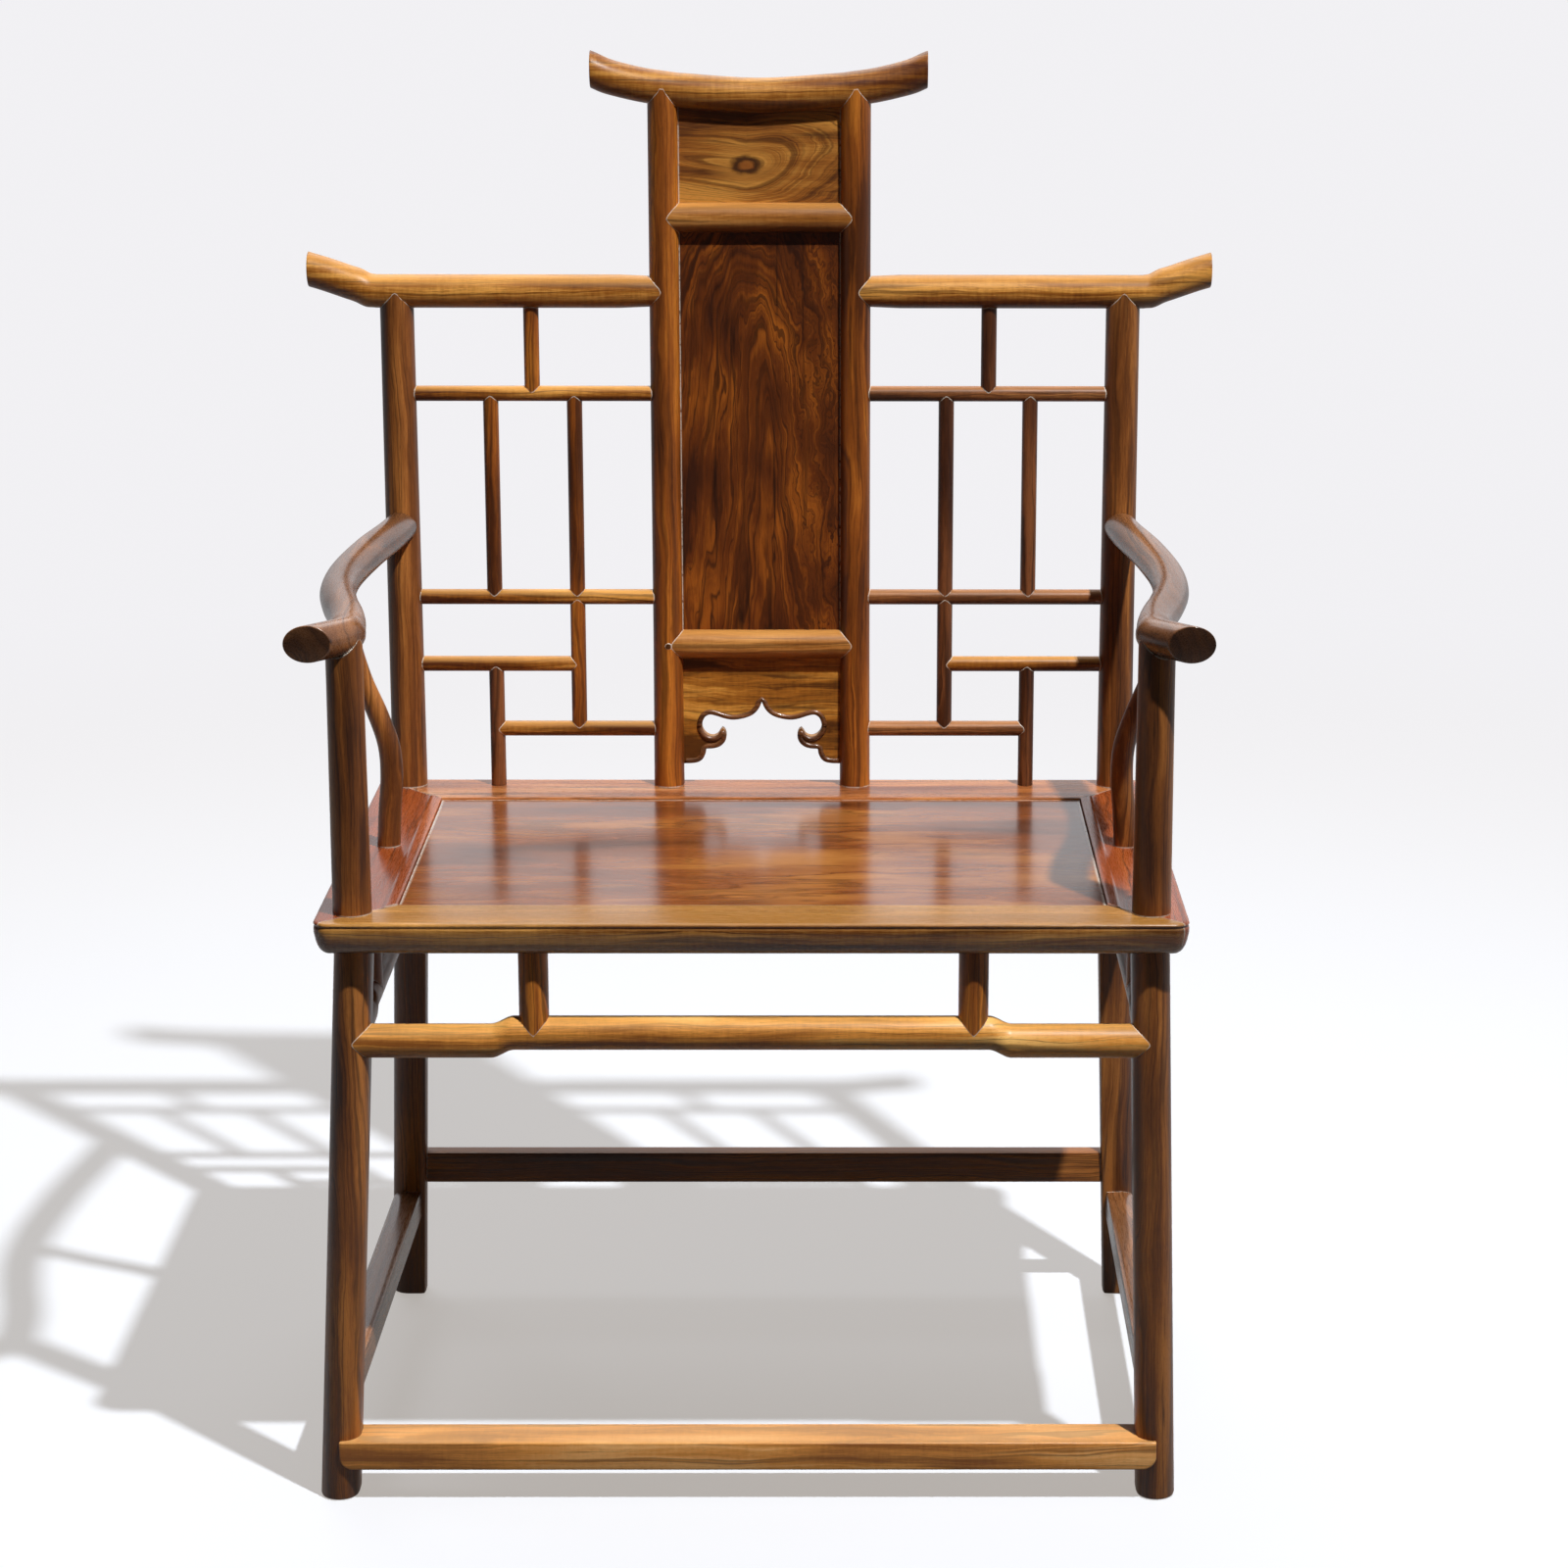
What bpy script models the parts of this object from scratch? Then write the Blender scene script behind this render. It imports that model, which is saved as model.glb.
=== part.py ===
"""An officials hat armchair of polished rosewood, modelled as the separate members that a joiner fits together.

Metres, +Z up. The sitter faces -Y, and +X is on the right of someone who looks at the front of the chair.
The origin is on the floor, under the middle of the whole chair. Pieces named left lie towards -X.
"""

import math

import bmesh
import bpy
from mathutils import Matrix, Vector

# Clearances that every joint shares
JOINT_GAP = 0.0003
CUT_OVERRUN = 0.004
WELD_DISTANCE = 0.00001

# Seat frame
SEAT_WIDTH = 0.700
SEAT_DEPTH = 0.478
SEAT_TOP = 0.500
SEAT_THICKNESS = 0.025
SEAT_CORNER_RADIUS = 0.014
FRONT_RAIL_WIDTH = 0.055
BACK_RAIL_WIDTH = 0.075
SIDE_RAIL_WIDTH = 0.061
EDGE_TUCK = 0.016
BEAD_WIDTH = 0.011
BEAD_HEIGHT = 0.0012
GROOVE_DEPTH = 0.006
GROOVE_BELOW_TOP = 0.009
GROOVE_HEIGHT = 0.005
MITRE_TENON_INSET = 0.0055
MITRE_TENON_WIDTH = 0.005
MITRE_TENON_HEIGHT = 0.0065
MITRE_TENON_REACH = 0.015

# Seat panel and the battens that hold it flat
PANEL_SEAM = 0.0008
PANEL_BELOW_TOP = 0.0008
BATTEN_SPACING = 0.230
BATTEN_WIDTH = 0.018
BATTEN_NECK = 0.014
BATTEN_HEAD_HEIGHT = 0.003
BATTEN_BODY_HEIGHT = 0.0075
BATTEN_TENON_LENGTH = 0.010
BATTEN_TENON_HEIGHT = 0.005

# Legs, which run on above the seat as the posts of the arms and the back
LEG_FROM_SIDE = 0.027
LEG_FROM_FRONT = 0.034
LEG_FROM_BACK = 0.021
FOOT_RADIUS = 0.0165
LEG_RADIUS = 0.0152
NECK_RADIUS = 0.010
POST_RADIUS = 0.0158
FRONT_POST_TOP_RADIUS = 0.0149
BACK_POST_TOP_RADIUS = 0.0144
POST_TAPER_RUN = 0.040
FRONT_SPLAY_OUT = 0.019
FRONT_SPLAY_AHEAD = 0.011
BACK_SPLAY_OUT = 0.015
BACK_SPLAY_BEHIND = 0.014

# Heights of the back, each measured up from the one before, starting at the seat
LATTICE_BOTTOM_ABOVE_SEAT = 0.053
LATTICE_SHORT_ABOVE_BOTTOM = 0.0605
LATTICE_MIDDLE_ABOVE_SHORT = 0.062
LATTICE_TOP_ABOVE_MIDDLE = 0.1852
WING_ABOVE_LATTICE_TOP = 0.0913
UPPER_CROSS_ABOVE_WING = 0.0665
HEADRAIL_ABOVE_UPPER_CROSS = 0.1055

# Back: centre posts, crest rail, wing rails and cross rails
CENTRE_POST_SPACING = 0.170
CENTRE_POST_RADIUS = 0.0130
CENTRE_POST_FOOT_RADIUS = 0.0136
HEADRAIL_LENGTH = 0.302
HEADRAIL_LIFT = 0.027
HEADRAIL_RADIUS = 0.0150
HEADRAIL_SPLINE_STEPS = 2
WING_SPAN = 0.806
WING_RADIUS = 0.0148
WING_INNER_RADIUS = 0.0131
WING_LIFT = 0.0195
WING_LIFT_RUN = 0.060
WING_TAPER_RUN = 0.040
WING_SPLINE_STEPS = 2
LOWER_CROSS_ABOVE_SEAT = 0.132
CROSS_RAIL_RADIUS = 0.0131
BACK_PANEL_THICKNESS = 0.008
BACK_PANEL_SETBACK = 0.002
BACK_GROOVE_DEPTH = 0.004
APRON_ABOVE_SEAT = 0.0199
APRON_THICKNESS = 0.009
APRON_SPLINE_STEPS = 3
PEG_RADIUS = 0.0029
PEG_OFFSET = 0.0032
PEG_STANDS_PROUD = 0.0003

# Lattice bars on both sides of the back
BAR_RADIUS = 0.0069
LATTICE_UPRIGHT_OFFSET = 0.0375

# Arms and their gooseneck side posts
ARM_ABOVE_SEAT = 0.2415
ARM_DROP = 0.0135
ARM_BACK_RADIUS = 0.0140
ARM_RADIUS = 0.0150
ARM_BOW = 0.025
ARM_FLARE = 0.025
ARM_TIP_REACH = 0.0330
ARM_TIP_WIDENING = 1.27
ARM_SPLINE_STEPS = 3
ARM_TAPER_SHARE = 0.33
STRUT_FROM_SIDE = 0.0325
STRUT_BASE_BEHIND_MIDDLE = 0.003
STRUT_TOP_AHEAD_OF_MIDDLE = 0.017
STRUT_BASE_RADIUS = 0.0100
STRUT_TOP_RADIUS = 0.0088
STRUT_SPLINE_STEPS = 3

# Humpback stretchers under the seat and the short struts that stand on them
HUMP_BELOW_SEAT = 0.077
HUMP_RISE = 0.0065
HUMP_RADIUS = 0.0138
HUMP_STRUT_RADIUS = 0.0122
FRONT_STRUT_SPACING = 0.357
SIDE_STRUT_SPACING = 0.200

# Lower stretchers, each pair a step higher than the one before
FOOT_REST_TOP = 0.054
FOOT_REST_THICKNESS = 0.0255
FOOT_REST_WIDTH = 0.0395
FOOT_REST_LIP = 0.0035
FOOT_REST_CORNER = 0.011
SIDE_STRETCHER_STEP = 0.0375
SIDE_STRETCHER_HALF_WIDTH = 0.0140
SIDE_STRETCHER_HALF_HEIGHT = 0.0135
REAR_STRETCHER_STEP = 0.041
REAR_STRETCHER_HALF_WIDTH = 0.0130
REAR_STRETCHER_HALF_HEIGHT = 0.0140

# Tenon sizes
LEG_TENON_LENGTH = 0.009
LEG_TENON_WIDTH = 0.008
LEG_TENON_HEIGHT = 0.012
POST_TENON_LENGTH = 0.013
POST_TENON_WIDTH = 0.009
BAR_TENON_SIDE = 0.005
BAR_TENON_IN_BAR = 0.0045
BAR_TENON_IN_POST = 0.008
CROSS_TENON_LENGTH = 0.022
CROSS_TENON_WIDTH = 0.007
CROSS_TENON_HEIGHT = 0.009
WING_TENON_LENGTH = 0.010
STRUT_TENON_SIDE = 0.009
STRUT_TENON_LENGTH = 0.008

# Outlines and curves, as shares of the sizes that they follow
EDGE_PROFILE_SHARES = (
    (0.38, 0.0), (0.12, 0.05), (0.0, 0.15), (0.07, 0.25), (0.05, 0.37), (0.19, 0.61), (0.50, 0.85), (1.0, 1.0),
)
BEAD_PROFILE_SHARES = ((0.0, 0.0), (0.12, 1.0), (0.78, 1.0), (1.0, 0.0))
ARM_PLAN_SHARES = (
    (0.0, 0.0), (0.113, 0.24), (0.28, 0.68), (0.48, 1.0), (0.634, 0.96), (0.75, 0.64), (0.84, 0.28),
    (0.91, 0.07), (0.957, 0.0), (1.0, 0.0),
)
STRUT_LEAN_SHARES = (
    (0.0, 0.0), (0.13, -0.06), (0.27, -0.15), (0.39, -0.10), (0.52, 0.20), (0.65, 0.58), (0.79, 0.85),
    (0.92, 0.97), (1.0, 1.0),
)
HEADRAIL_LIFT_SHARES = ((0.0, 0.0), (0.43, 0.167), (0.563, 0.26), (0.709, 0.407), (0.881, 0.685), (1.0, 1.0))
WING_LIFT_SHARES = ((0.0, 0.0), (0.12, 0.06), (0.29, 0.28), (0.45, 0.45), (0.74, 0.755), (1.0, 1.0))
HUMP_STEP_SHARES = ((0.54, 1.0), (0.58, 0.85), (0.62, 0.15), (0.66, 0.0))
SCROLL_SHARES = (
    (0.0, 0.523), (0.039, 0.469), (0.110, 0.426), (0.208, 0.408), (0.324, 0.421), (0.422, 0.444),
    (0.565, 0.465), (0.638, 0.453), (0.701, 0.410), (0.719, 0.357), (0.694, 0.314), (0.638, 0.282),
    (0.565, 0.277), (0.531, 0.299), (0.515, 0.337),
)
HOOK_SHARES = ((0.467, 0.320), (0.440, 0.282), (0.458, 0.239), (0.508, 0.192), (0.581, 0.159), (0.681, 0.148))
CREST_STEP_SHARES = (1, 0.8, 0.6, 0.4, 0.2, 0, -0.2, -0.4, -0.6, -0.8, -1)
SCALLOP_SHARES = ((0.688, 0.100), (0.731, 0.048), (0.794, 0.014), (0.881, 0.002), (1.0, 0.0))

FLAT_EDGE_SHARE = 0.88
INNER_CORNER_SHARE = 0.84
UPRIGHT_SHARE = 0.001

# How finely round shapes are drawn
ROUND_SIDES = 16
BAR_SIDES = 12
CORNER_STEPS = 4
SMOOTH_ANGLE = math.radians(40)
FLAT_ANGLE = math.radians(0.5)

# Places worked out from the sizes
BACK_REACH = SEAT_DEPTH / 2 - LEG_FROM_BACK + BACK_SPLAY_BEHIND + FOOT_RADIUS
FRONT_REACH = SEAT_DEPTH / 2 + max(0, ARM_TIP_REACH - LEG_FROM_FRONT)
SEAT_MIDDLE_Y = (FRONT_REACH - BACK_REACH) / 2
SEAT_BOTTOM = SEAT_TOP - SEAT_THICKNESS
SEAT_FRONT_Y = SEAT_MIDDLE_Y - SEAT_DEPTH / 2
SEAT_BACK_Y = SEAT_MIDDLE_Y + SEAT_DEPTH / 2
OPENING_HALF_WIDTH = SEAT_WIDTH / 2 - SIDE_RAIL_WIDTH
OPENING_FRONT_Y = SEAT_FRONT_Y + FRONT_RAIL_WIDTH
OPENING_BACK_Y = SEAT_BACK_Y - BACK_RAIL_WIDTH
LEG_X = SEAT_WIDTH / 2 - LEG_FROM_SIDE
FRONT_Y = SEAT_FRONT_Y + LEG_FROM_FRONT
BACK_Y = SEAT_BACK_Y - LEG_FROM_BACK
CENTRE_POST_X = CENTRE_POST_SPACING / 2
LATTICE_BOTTOM_HEIGHT = SEAT_TOP + LATTICE_BOTTOM_ABOVE_SEAT
LATTICE_SHORT_HEIGHT = LATTICE_BOTTOM_HEIGHT + LATTICE_SHORT_ABOVE_BOTTOM
LATTICE_MIDDLE_HEIGHT = LATTICE_SHORT_HEIGHT + LATTICE_MIDDLE_ABOVE_SHORT
LATTICE_TOP_HEIGHT = LATTICE_MIDDLE_HEIGHT + LATTICE_TOP_ABOVE_MIDDLE
WING_HEIGHT = LATTICE_TOP_HEIGHT + WING_ABOVE_LATTICE_TOP
UPPER_CROSS_HEIGHT = WING_HEIGHT + UPPER_CROSS_ABOVE_WING
HEADRAIL_HEIGHT = UPPER_CROSS_HEIGHT + HEADRAIL_ABOVE_UPPER_CROSS
LOWER_CROSS_HEIGHT = SEAT_TOP + LOWER_CROSS_ABOVE_SEAT
ARM_BACK_HEIGHT = SEAT_TOP + ARM_ABOVE_SEAT
ARM_FRONT_HEIGHT = ARM_BACK_HEIGHT - ARM_DROP
HUMP_LOW_HEIGHT = SEAT_BOTTOM - HUMP_BELOW_SEAT
SIDE_STRETCHER_HEIGHT = FOOT_REST_TOP + SIDE_STRETCHER_STEP
REAR_STRETCHER_HEIGHT = SIDE_STRETCHER_HEIGHT + REAR_STRETCHER_STEP
LATTICE_MIDDLE_X = (LEG_X + CENTRE_POST_X) / 2
LATTICE_OUTER_X = LATTICE_MIDDLE_X + LATTICE_UPRIGHT_OFFSET
LATTICE_INNER_X = LATTICE_MIDDLE_X - LATTICE_UPRIGHT_OFFSET
APRON_FOOT = SEAT_TOP + APRON_ABOVE_SEAT
APRON_HEIGHT = LOWER_CROSS_HEIGHT - CROSS_RAIL_RADIUS - APRON_FOOT
BACK_PANEL_Y = BACK_Y + BACK_PANEL_SETBACK

X_AXIS = Vector((1, 0, 0))
Y_AXIS = Vector((0, 1, 0))
Z_AXIS = Vector((0, 0, 1))
SIDES = (("left", -1), ("right", 1))

# Colours of the polished wood, one tone for each kind of member
TONES = {
    "golden": (0.42, 0.19, 0.06, 1),
    "honey": (0.50, 0.25, 0.08, 1),
    "red": (0.26, 0.08, 0.03, 1),
    "brown": (0.20, 0.08, 0.03, 1),
    "figured": (0.16, 0.05, 0.02, 1),
}
POLISH_ROUGHNESS = 0.28


def clear_scene():
    """Removes what the start-up scene holds."""
    for obj in list(bpy.data.objects):
        bpy.data.objects.remove(obj, do_unlink=True)


def polished_wood(name, tone):
    """The material of one piece: polished rosewood of the given tone."""
    material = bpy.data.materials.new(f"{name}_rosewood")
    material.use_nodes = True
    shader = material.node_tree.nodes["Principled BSDF"]
    shader.inputs["Base Color"].default_value = TONES[tone]
    shader.inputs["Roughness"].default_value = POLISH_ROUGHNESS
    shader.inputs["Metallic"].default_value = 0
    return material


def round_outline(sides):
    """A unit circle with a corner on each axis."""
    turns = (2 * math.pi * step / sides for step in range(sides))
    return [(math.cos(turn), math.sin(turn)) for turn in turns]


def half_round_outline(sides, flat_side):
    """A unit section that is round on one side and flat, with eased corners, on the other."""
    eased = FLAT_EDGE_SHARE
    turns = (math.pi * (0.5 + 2 * step / sides) for step in range(sides // 2 + 1))
    curve = [(math.cos(turn), math.sin(turn)) for turn in turns]
    flat = [(eased, -1), (1, -eased), (1, eased), (eased, 1)]
    return [(x * flat_side, y) for x, y in curve + flat]


def inner_square_outline(sides, inward_x, inward_y):
    """A unit circle whose quarter towards the middle of the chair is filled out to a square corner."""
    eased = INNER_CORNER_SHARE
    turns = (math.pi / 2 + 2 * math.pi * step / sides for step in range(sides * 3 // 4 + 1))
    curve = [(math.cos(turn), math.sin(turn)) for turn in turns]
    corner = [(1, eased), (eased, 1)]
    return [(x * inward_x, y * inward_y) for x, y in curve + corner]


def square_outline():
    """A unit square."""
    return [(1, 1), (-1, 1), (-1, -1), (1, -1)]


ROUND = round_outline(ROUND_SIDES)
SLIM_ROUND = round_outline(BAR_SIDES)
SQUARE = square_outline()


def smooth_path(points, steps):
    """Points along one smooth curve that passes through all of the given ones."""
    ends = [2 * points[0] - points[1], *points, 2 * points[-1] - points[-2]]
    path = []
    for before, start, end, after in zip(ends, ends[1:], ends[2:], ends[3:]):
        for step in range(steps):
            t = step / steps
            straight = 2 * start + (end - before) * t
            bend = (2 * before - 5 * start + 4 * end - after) * t**2
            twist = (3 * start - before - 3 * end + after) * t**3
            path.append((straight + bend + twist) / 2)
    path.append(points[-1].copy())
    return path


def ring_matrix(centre, normal, half_wide, half_tall):
    """Places a unit outline square to normal. Its wide direction lies level."""
    normal = normal.normalized()
    wide = Z_AXIS.cross(normal)
    wide = wide.normalized() if wide.length > UPRIGHT_SHARE else X_AXIS
    tall = normal.cross(wide)
    frame = Matrix((wide * half_wide, tall * half_tall, normal)).transposed().to_4x4()
    return Matrix.Translation(centre) @ frame


class Member:
    """A section carried along a path, as a list of rings that can be built at size or grown by a clearance."""

    def __init__(self, path, sizes, outline=None, normal=None, end_normal=None):
        self.path = path
        self.sizes = [size if isinstance(size, tuple) else (size, size) for size in sizes]
        self.outline = outline or ROUND
        self.normal = normal
        self.end_normal = end_normal

    def ring_normal(self, index):
        """The direction that a ring faces: fixed, or along the path."""
        if self.end_normal is not None and index == len(self.path) - 1:
            return self.end_normal
        if self.normal is not None:
            return self.normal
        before = self.path[max(index - 1, 0)]
        after = self.path[min(index + 1, len(self.path) - 1)]
        return after - before

    def build(self, grow=0):
        """The closed mesh of the member, with its section grown on all sides."""
        rings = []
        for index, (centre, (wide, tall)) in enumerate(zip(self.path, self.sizes)):
            rings.append(ring_matrix(centre, self.ring_normal(index), wide + grow, tall + grow))
        bm = bmesh.new()
        corners = [bm.verts.new(rings[0] @ Vector((x, y, 0))) for x, y in self.outline]
        bm.faces.new(corners)
        edges = list(bm.edges)
        for before, after in zip(rings, rings[1:]):
            made = bmesh.ops.extrude_edge_only(bm, edges=edges)["geom"]
            moved = [item for item in made if isinstance(item, bmesh.types.BMVert)]
            bmesh.ops.transform(bm, matrix=after @ before.inverted(), verts=moved)
            edges = [item for item in made if isinstance(item, bmesh.types.BMEdge) and item.is_boundary]
        bmesh.ops.contextual_create(bm, geom=edges)
        bmesh.ops.recalc_face_normals(bm, faces=bm.faces)
        return bm


def straight(start, end, half_wide, half_tall=None, outline=None):
    """A member of one section between two points."""
    size = (half_wide, half_wide if half_tall is None else half_tall)
    return Member([start, end], [size, size], outline or SQUARE)


def put(name, bm, anchor=None):
    """Makes an object of a mesh, with its origin at the anchor."""
    mesh = bpy.data.meshes.new(name)
    if anchor is not None:
        bmesh.ops.translate(bm, verts=bm.verts, vec=-anchor)
    bm.to_mesh(mesh)
    bm.free()
    mesh.shade_smooth()
    mesh.set_sharp_from_angle(angle=SMOOTH_ANGLE)
    obj = bpy.data.objects.new(name, mesh)
    bpy.context.scene.collection.objects.link(obj)
    if anchor is not None:
        obj.location = anchor
    return obj


def piece(name, bm, tone, anchor):
    """One sub-part of the chair."""
    obj = put(name, bm, anchor)
    obj.data.materials.append(polished_wood(name, tone))
    obj.parent = CHAIR
    return obj


def guide(name, bm):
    """A mesh that only shapes others and is left out of the model."""
    obj = put(name, bm)
    obj.hide_render = True
    obj.display_type = "WIRE"
    return obj


def combine(target, tool, operation):
    """Cuts a guide from an object, or joins it on."""
    modifier = target.modifiers.new(f"{operation.lower()}_{tool.name}"[:60], "BOOLEAN")
    modifier.operation = operation
    modifier.solver = "EXACT"
    modifier.object = tool


def cut(target, member, grow=0):
    """Takes a member's shape, grown by a clearance, out of an object."""
    combine(target, guide(f"{target.name}_cut", member.build(grow)), "DIFFERENCE")


def join(target, member):
    """Adds a member's shape to an object."""
    combine(target, guide(f"{target.name}_add", member.build()), "UNION")


def tenon(owner, socket, shoulder, direction, length, wide, tall, root=CUT_OVERRUN):
    """A rectangular tongue on owner and the mortise that it fills in socket."""
    start = shoulder - direction * root
    join(owner, straight(start, shoulder + direction * length, wide / 2, tall / 2))
    bottom = shoulder + direction * (length + JOINT_GAP)
    cut(socket, straight(start, bottom, wide / 2, tall / 2), JOINT_GAP)


def foot_centre(side, front):
    """The middle of a foot, on the floor."""
    if front:
        return Vector((side * (LEG_X + FRONT_SPLAY_OUT), FRONT_Y - FRONT_SPLAY_AHEAD, 0))
    return Vector((side * (LEG_X + BACK_SPLAY_OUT), BACK_Y + BACK_SPLAY_BEHIND, 0))


def leg_centre(side, front, height):
    """A leg's axis at a height below the seat."""
    top = Vector((side * LEG_X, FRONT_Y if front else BACK_Y, SEAT_BOTTOM))
    return foot_centre(side, front).lerp(top, height / SEAT_BOTTOM)


def leg_radius(height):
    """A leg's radius at a height below the seat."""
    return FOOT_RADIUS + (LEG_RADIUS - FOOT_RADIUS) * height / SEAT_BOTTOM


def lower_leg(side, front):
    """The stretch of a leg from the floor to the shoulder that carries the seat frame."""
    outline = inner_square_outline(ROUND_SIDES, -side, 1 if front else -1)
    top = SEAT_BOTTOM - JOINT_GAP
    path = [leg_centre(side, front, 0), leg_centre(side, front, top)]
    return Member(path, [leg_radius(0), leg_radius(top)], outline, normal=Z_AXIS)


def upper_leg(side, front):
    """The neck that passes through the seat frame, and the post above it."""
    x = side * LEG_X
    y = FRONT_Y if front else BACK_Y
    top = ARM_FRONT_HEIGHT if front else WING_HEIGHT
    top_radius = FRONT_POST_TOP_RADIUS if front else BACK_POST_TOP_RADIUS
    base = SEAT_TOP + JOINT_GAP
    heights = (SEAT_BOTTOM - CUT_OVERRUN, base, base, top - POST_TAPER_RUN, top)
    radii = (NECK_RADIUS, NECK_RADIUS, POST_RADIUS, top_radius, top_radius)
    return Member([Vector((x, y, height)) for height in heights], radii, normal=Z_AXIS)


def along_path(path, axis, value):
    """The point of a path where one of its coordinates reaches a value."""
    for start, end in zip(path, path[1:]):
        low, high = sorted((start[axis], end[axis]))
        if low <= value <= high and high > low:
            return start.lerp(end, (value - start[axis]) / (end[axis] - start[axis]))
    return path[-1].copy()


def arm_path(side):
    """The arm's axis, with its radius as a fourth value, from the back post to the cut end."""
    points = []
    for share, bow in ARM_PLAN_SHARES:
        y = BACK_Y + (FRONT_Y - BACK_Y) * share
        height = ARM_BACK_HEIGHT + (ARM_FRONT_HEIGHT - ARM_BACK_HEIGHT) * share
        radius = ARM_BACK_RADIUS + (ARM_RADIUS - ARM_BACK_RADIUS) * min(share / ARM_TAPER_SHARE, 1)
        points.append(Vector((side * (LEG_X + ARM_BOW * bow), y, height, radius)))
    points.append(Vector((side * (LEG_X + ARM_FLARE), FRONT_Y - ARM_TIP_REACH, ARM_FRONT_HEIGHT, ARM_RADIUS)))
    return smooth_path(points, ARM_SPLINE_STEPS)


def arm_member(side):
    """An arm: out from the back post, in again over the front post, and flared to its upright cut end."""
    path = arm_path(side)
    # The last ring before the end would reach past the cut face
    del path[-2]
    sizes = [(point.w, point.w) for point in path]
    sizes[-1] = (ARM_RADIUS * ARM_TIP_WIDENING, ARM_RADIUS)
    return Member([point.xyz for point in path], sizes, end_normal=-Y_AXIS)


def arm_strut_member(side):
    """The gooseneck post between the side of the seat and the arm."""
    base_x = side * (SEAT_WIDTH / 2 - STRUT_FROM_SIDE)
    base = Vector((base_x, SEAT_MIDDLE_Y + STRUT_BASE_BEHIND_MIDDLE, SEAT_TOP + JOINT_GAP))
    top = along_path(arm_path(side), 1, SEAT_MIDDLE_Y - STRUT_TOP_AHEAD_OF_MIDDLE).xyz
    points = []
    for rise, lean in STRUT_LEAN_SHARES:
        x = base.x + (top.x - base.x) * lean
        radius = STRUT_BASE_RADIUS + (STRUT_TOP_RADIUS - STRUT_BASE_RADIUS) * rise
        points.append(Vector((x, base.y + (top.y - base.y) * rise, base.z + (top.z - base.z) * rise, radius)))
    path = smooth_path(points, STRUT_SPLINE_STEPS)
    return Member([point.xyz for point in path], [point.w for point in path], SLIM_ROUND, normal=Z_AXIS)


def headrail_path():
    """The axis of the crest rail, from left to right."""
    half = [
        Vector((HEADRAIL_LENGTH / 2 * across, BACK_Y, HEADRAIL_HEIGHT + HEADRAIL_LIFT * lift))
        for across, lift in HEADRAIL_LIFT_SHARES
    ]
    other_half = [Vector((-point.x, point.y, point.z)) for point in reversed(half[1:])]
    return smooth_path(other_half + half, HEADRAIL_SPLINE_STEPS)


def headrail_height(x):
    """The height of the crest rail's axis at a place along it."""
    return along_path(headrail_path(), 0, x).z


def headrail_member():
    """The crest rail, which sweeps up at both ends."""
    path = headrail_path()
    return Member(path, [HEADRAIL_RADIUS] * len(path), normal=X_AXIS)


def wing_member(side):
    """A wing rail, level from its centre post to past the back post, and turned up at its free end."""
    bend_x = WING_SPAN / 2 - WING_LIFT_RUN
    rise = []
    for run, lift in WING_LIFT_SHARES:
        x = side * (bend_x + WING_LIFT_RUN * run)
        rise.append(Vector((x, BACK_Y, WING_HEIGHT + WING_LIFT * lift)))
    start = Vector((side * CENTRE_POST_X, BACK_Y, WING_HEIGHT))
    full = start + X_AXIS * side * WING_TAPER_RUN
    path = [start, full, *smooth_path(rise, WING_SPLINE_STEPS)]
    sizes = [WING_INNER_RADIUS] + [WING_RADIUS] * (len(path) - 1)
    return Member(path, sizes, normal=X_AXIS)


def centre_post_member(side):
    """A centre post, from the seat frame up into the crest rail."""
    x = side * CENTRE_POST_X
    heights = (SEAT_TOP + JOINT_GAP, LOWER_CROSS_HEIGHT, headrail_height(x))
    radii = (CENTRE_POST_FOOT_RADIUS, CENTRE_POST_RADIUS, CENTRE_POST_RADIUS)
    return Member([Vector((x, BACK_Y, height)) for height in heights], radii, normal=Z_AXIS)


def cross_rail_member(height):
    """A cross rail between the axes of the two centre posts."""
    ends = [Vector((side * CENTRE_POST_X, BACK_Y, height)) for side in (-1, 1)]
    return Member(ends, [CROSS_RAIL_RADIUS] * 2)


def hump_lift(share):
    """How high a humpback stretcher has risen, at a share of the way from its middle to its end."""
    if share <= HUMP_STEP_SHARES[0][0]:
        return HUMP_RISE
    for (low, start), (high, end) in zip(HUMP_STEP_SHARES, HUMP_STEP_SHARES[1:]):
        if share <= high:
            return HUMP_RISE * (start + (end - start) * (share - low) / (high - low))
    return 0


def hump_member(start, end, flat_side):
    """A stretcher that steps up in its middle, round outside and flat inside."""
    steps = [share for share, _ in HUMP_STEP_SHARES]
    shares = [-1, *(-share for share in reversed(steps)), *steps, 1]
    middle = (start + end) / 2
    path = []
    for share in shares:
        path.append(middle + (end - start) * share / 2 + Z_AXIS * hump_lift(abs(share)))
    outline = half_round_outline(ROUND_SIDES, flat_side)
    return Member(path, [HUMP_RADIUS] * len(path), outline, normal=end - start)


def flush_axis(side, front, height, half_width, along_x):
    """Where a stretcher's axis meets a leg, with its outer face flush with the leg's."""
    shift = leg_radius(height) - half_width
    place = leg_centre(side, front, height)
    if along_x:
        return place + Y_AXIS * shift * (-1 if front else 1)
    return place + X_AXIS * shift * side


def bar_member(start, end):
    """A lattice bar between the axes of its two neighbours."""
    return Member([start, end], [BAR_RADIUS] * 2, SLIM_ROUND)


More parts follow.
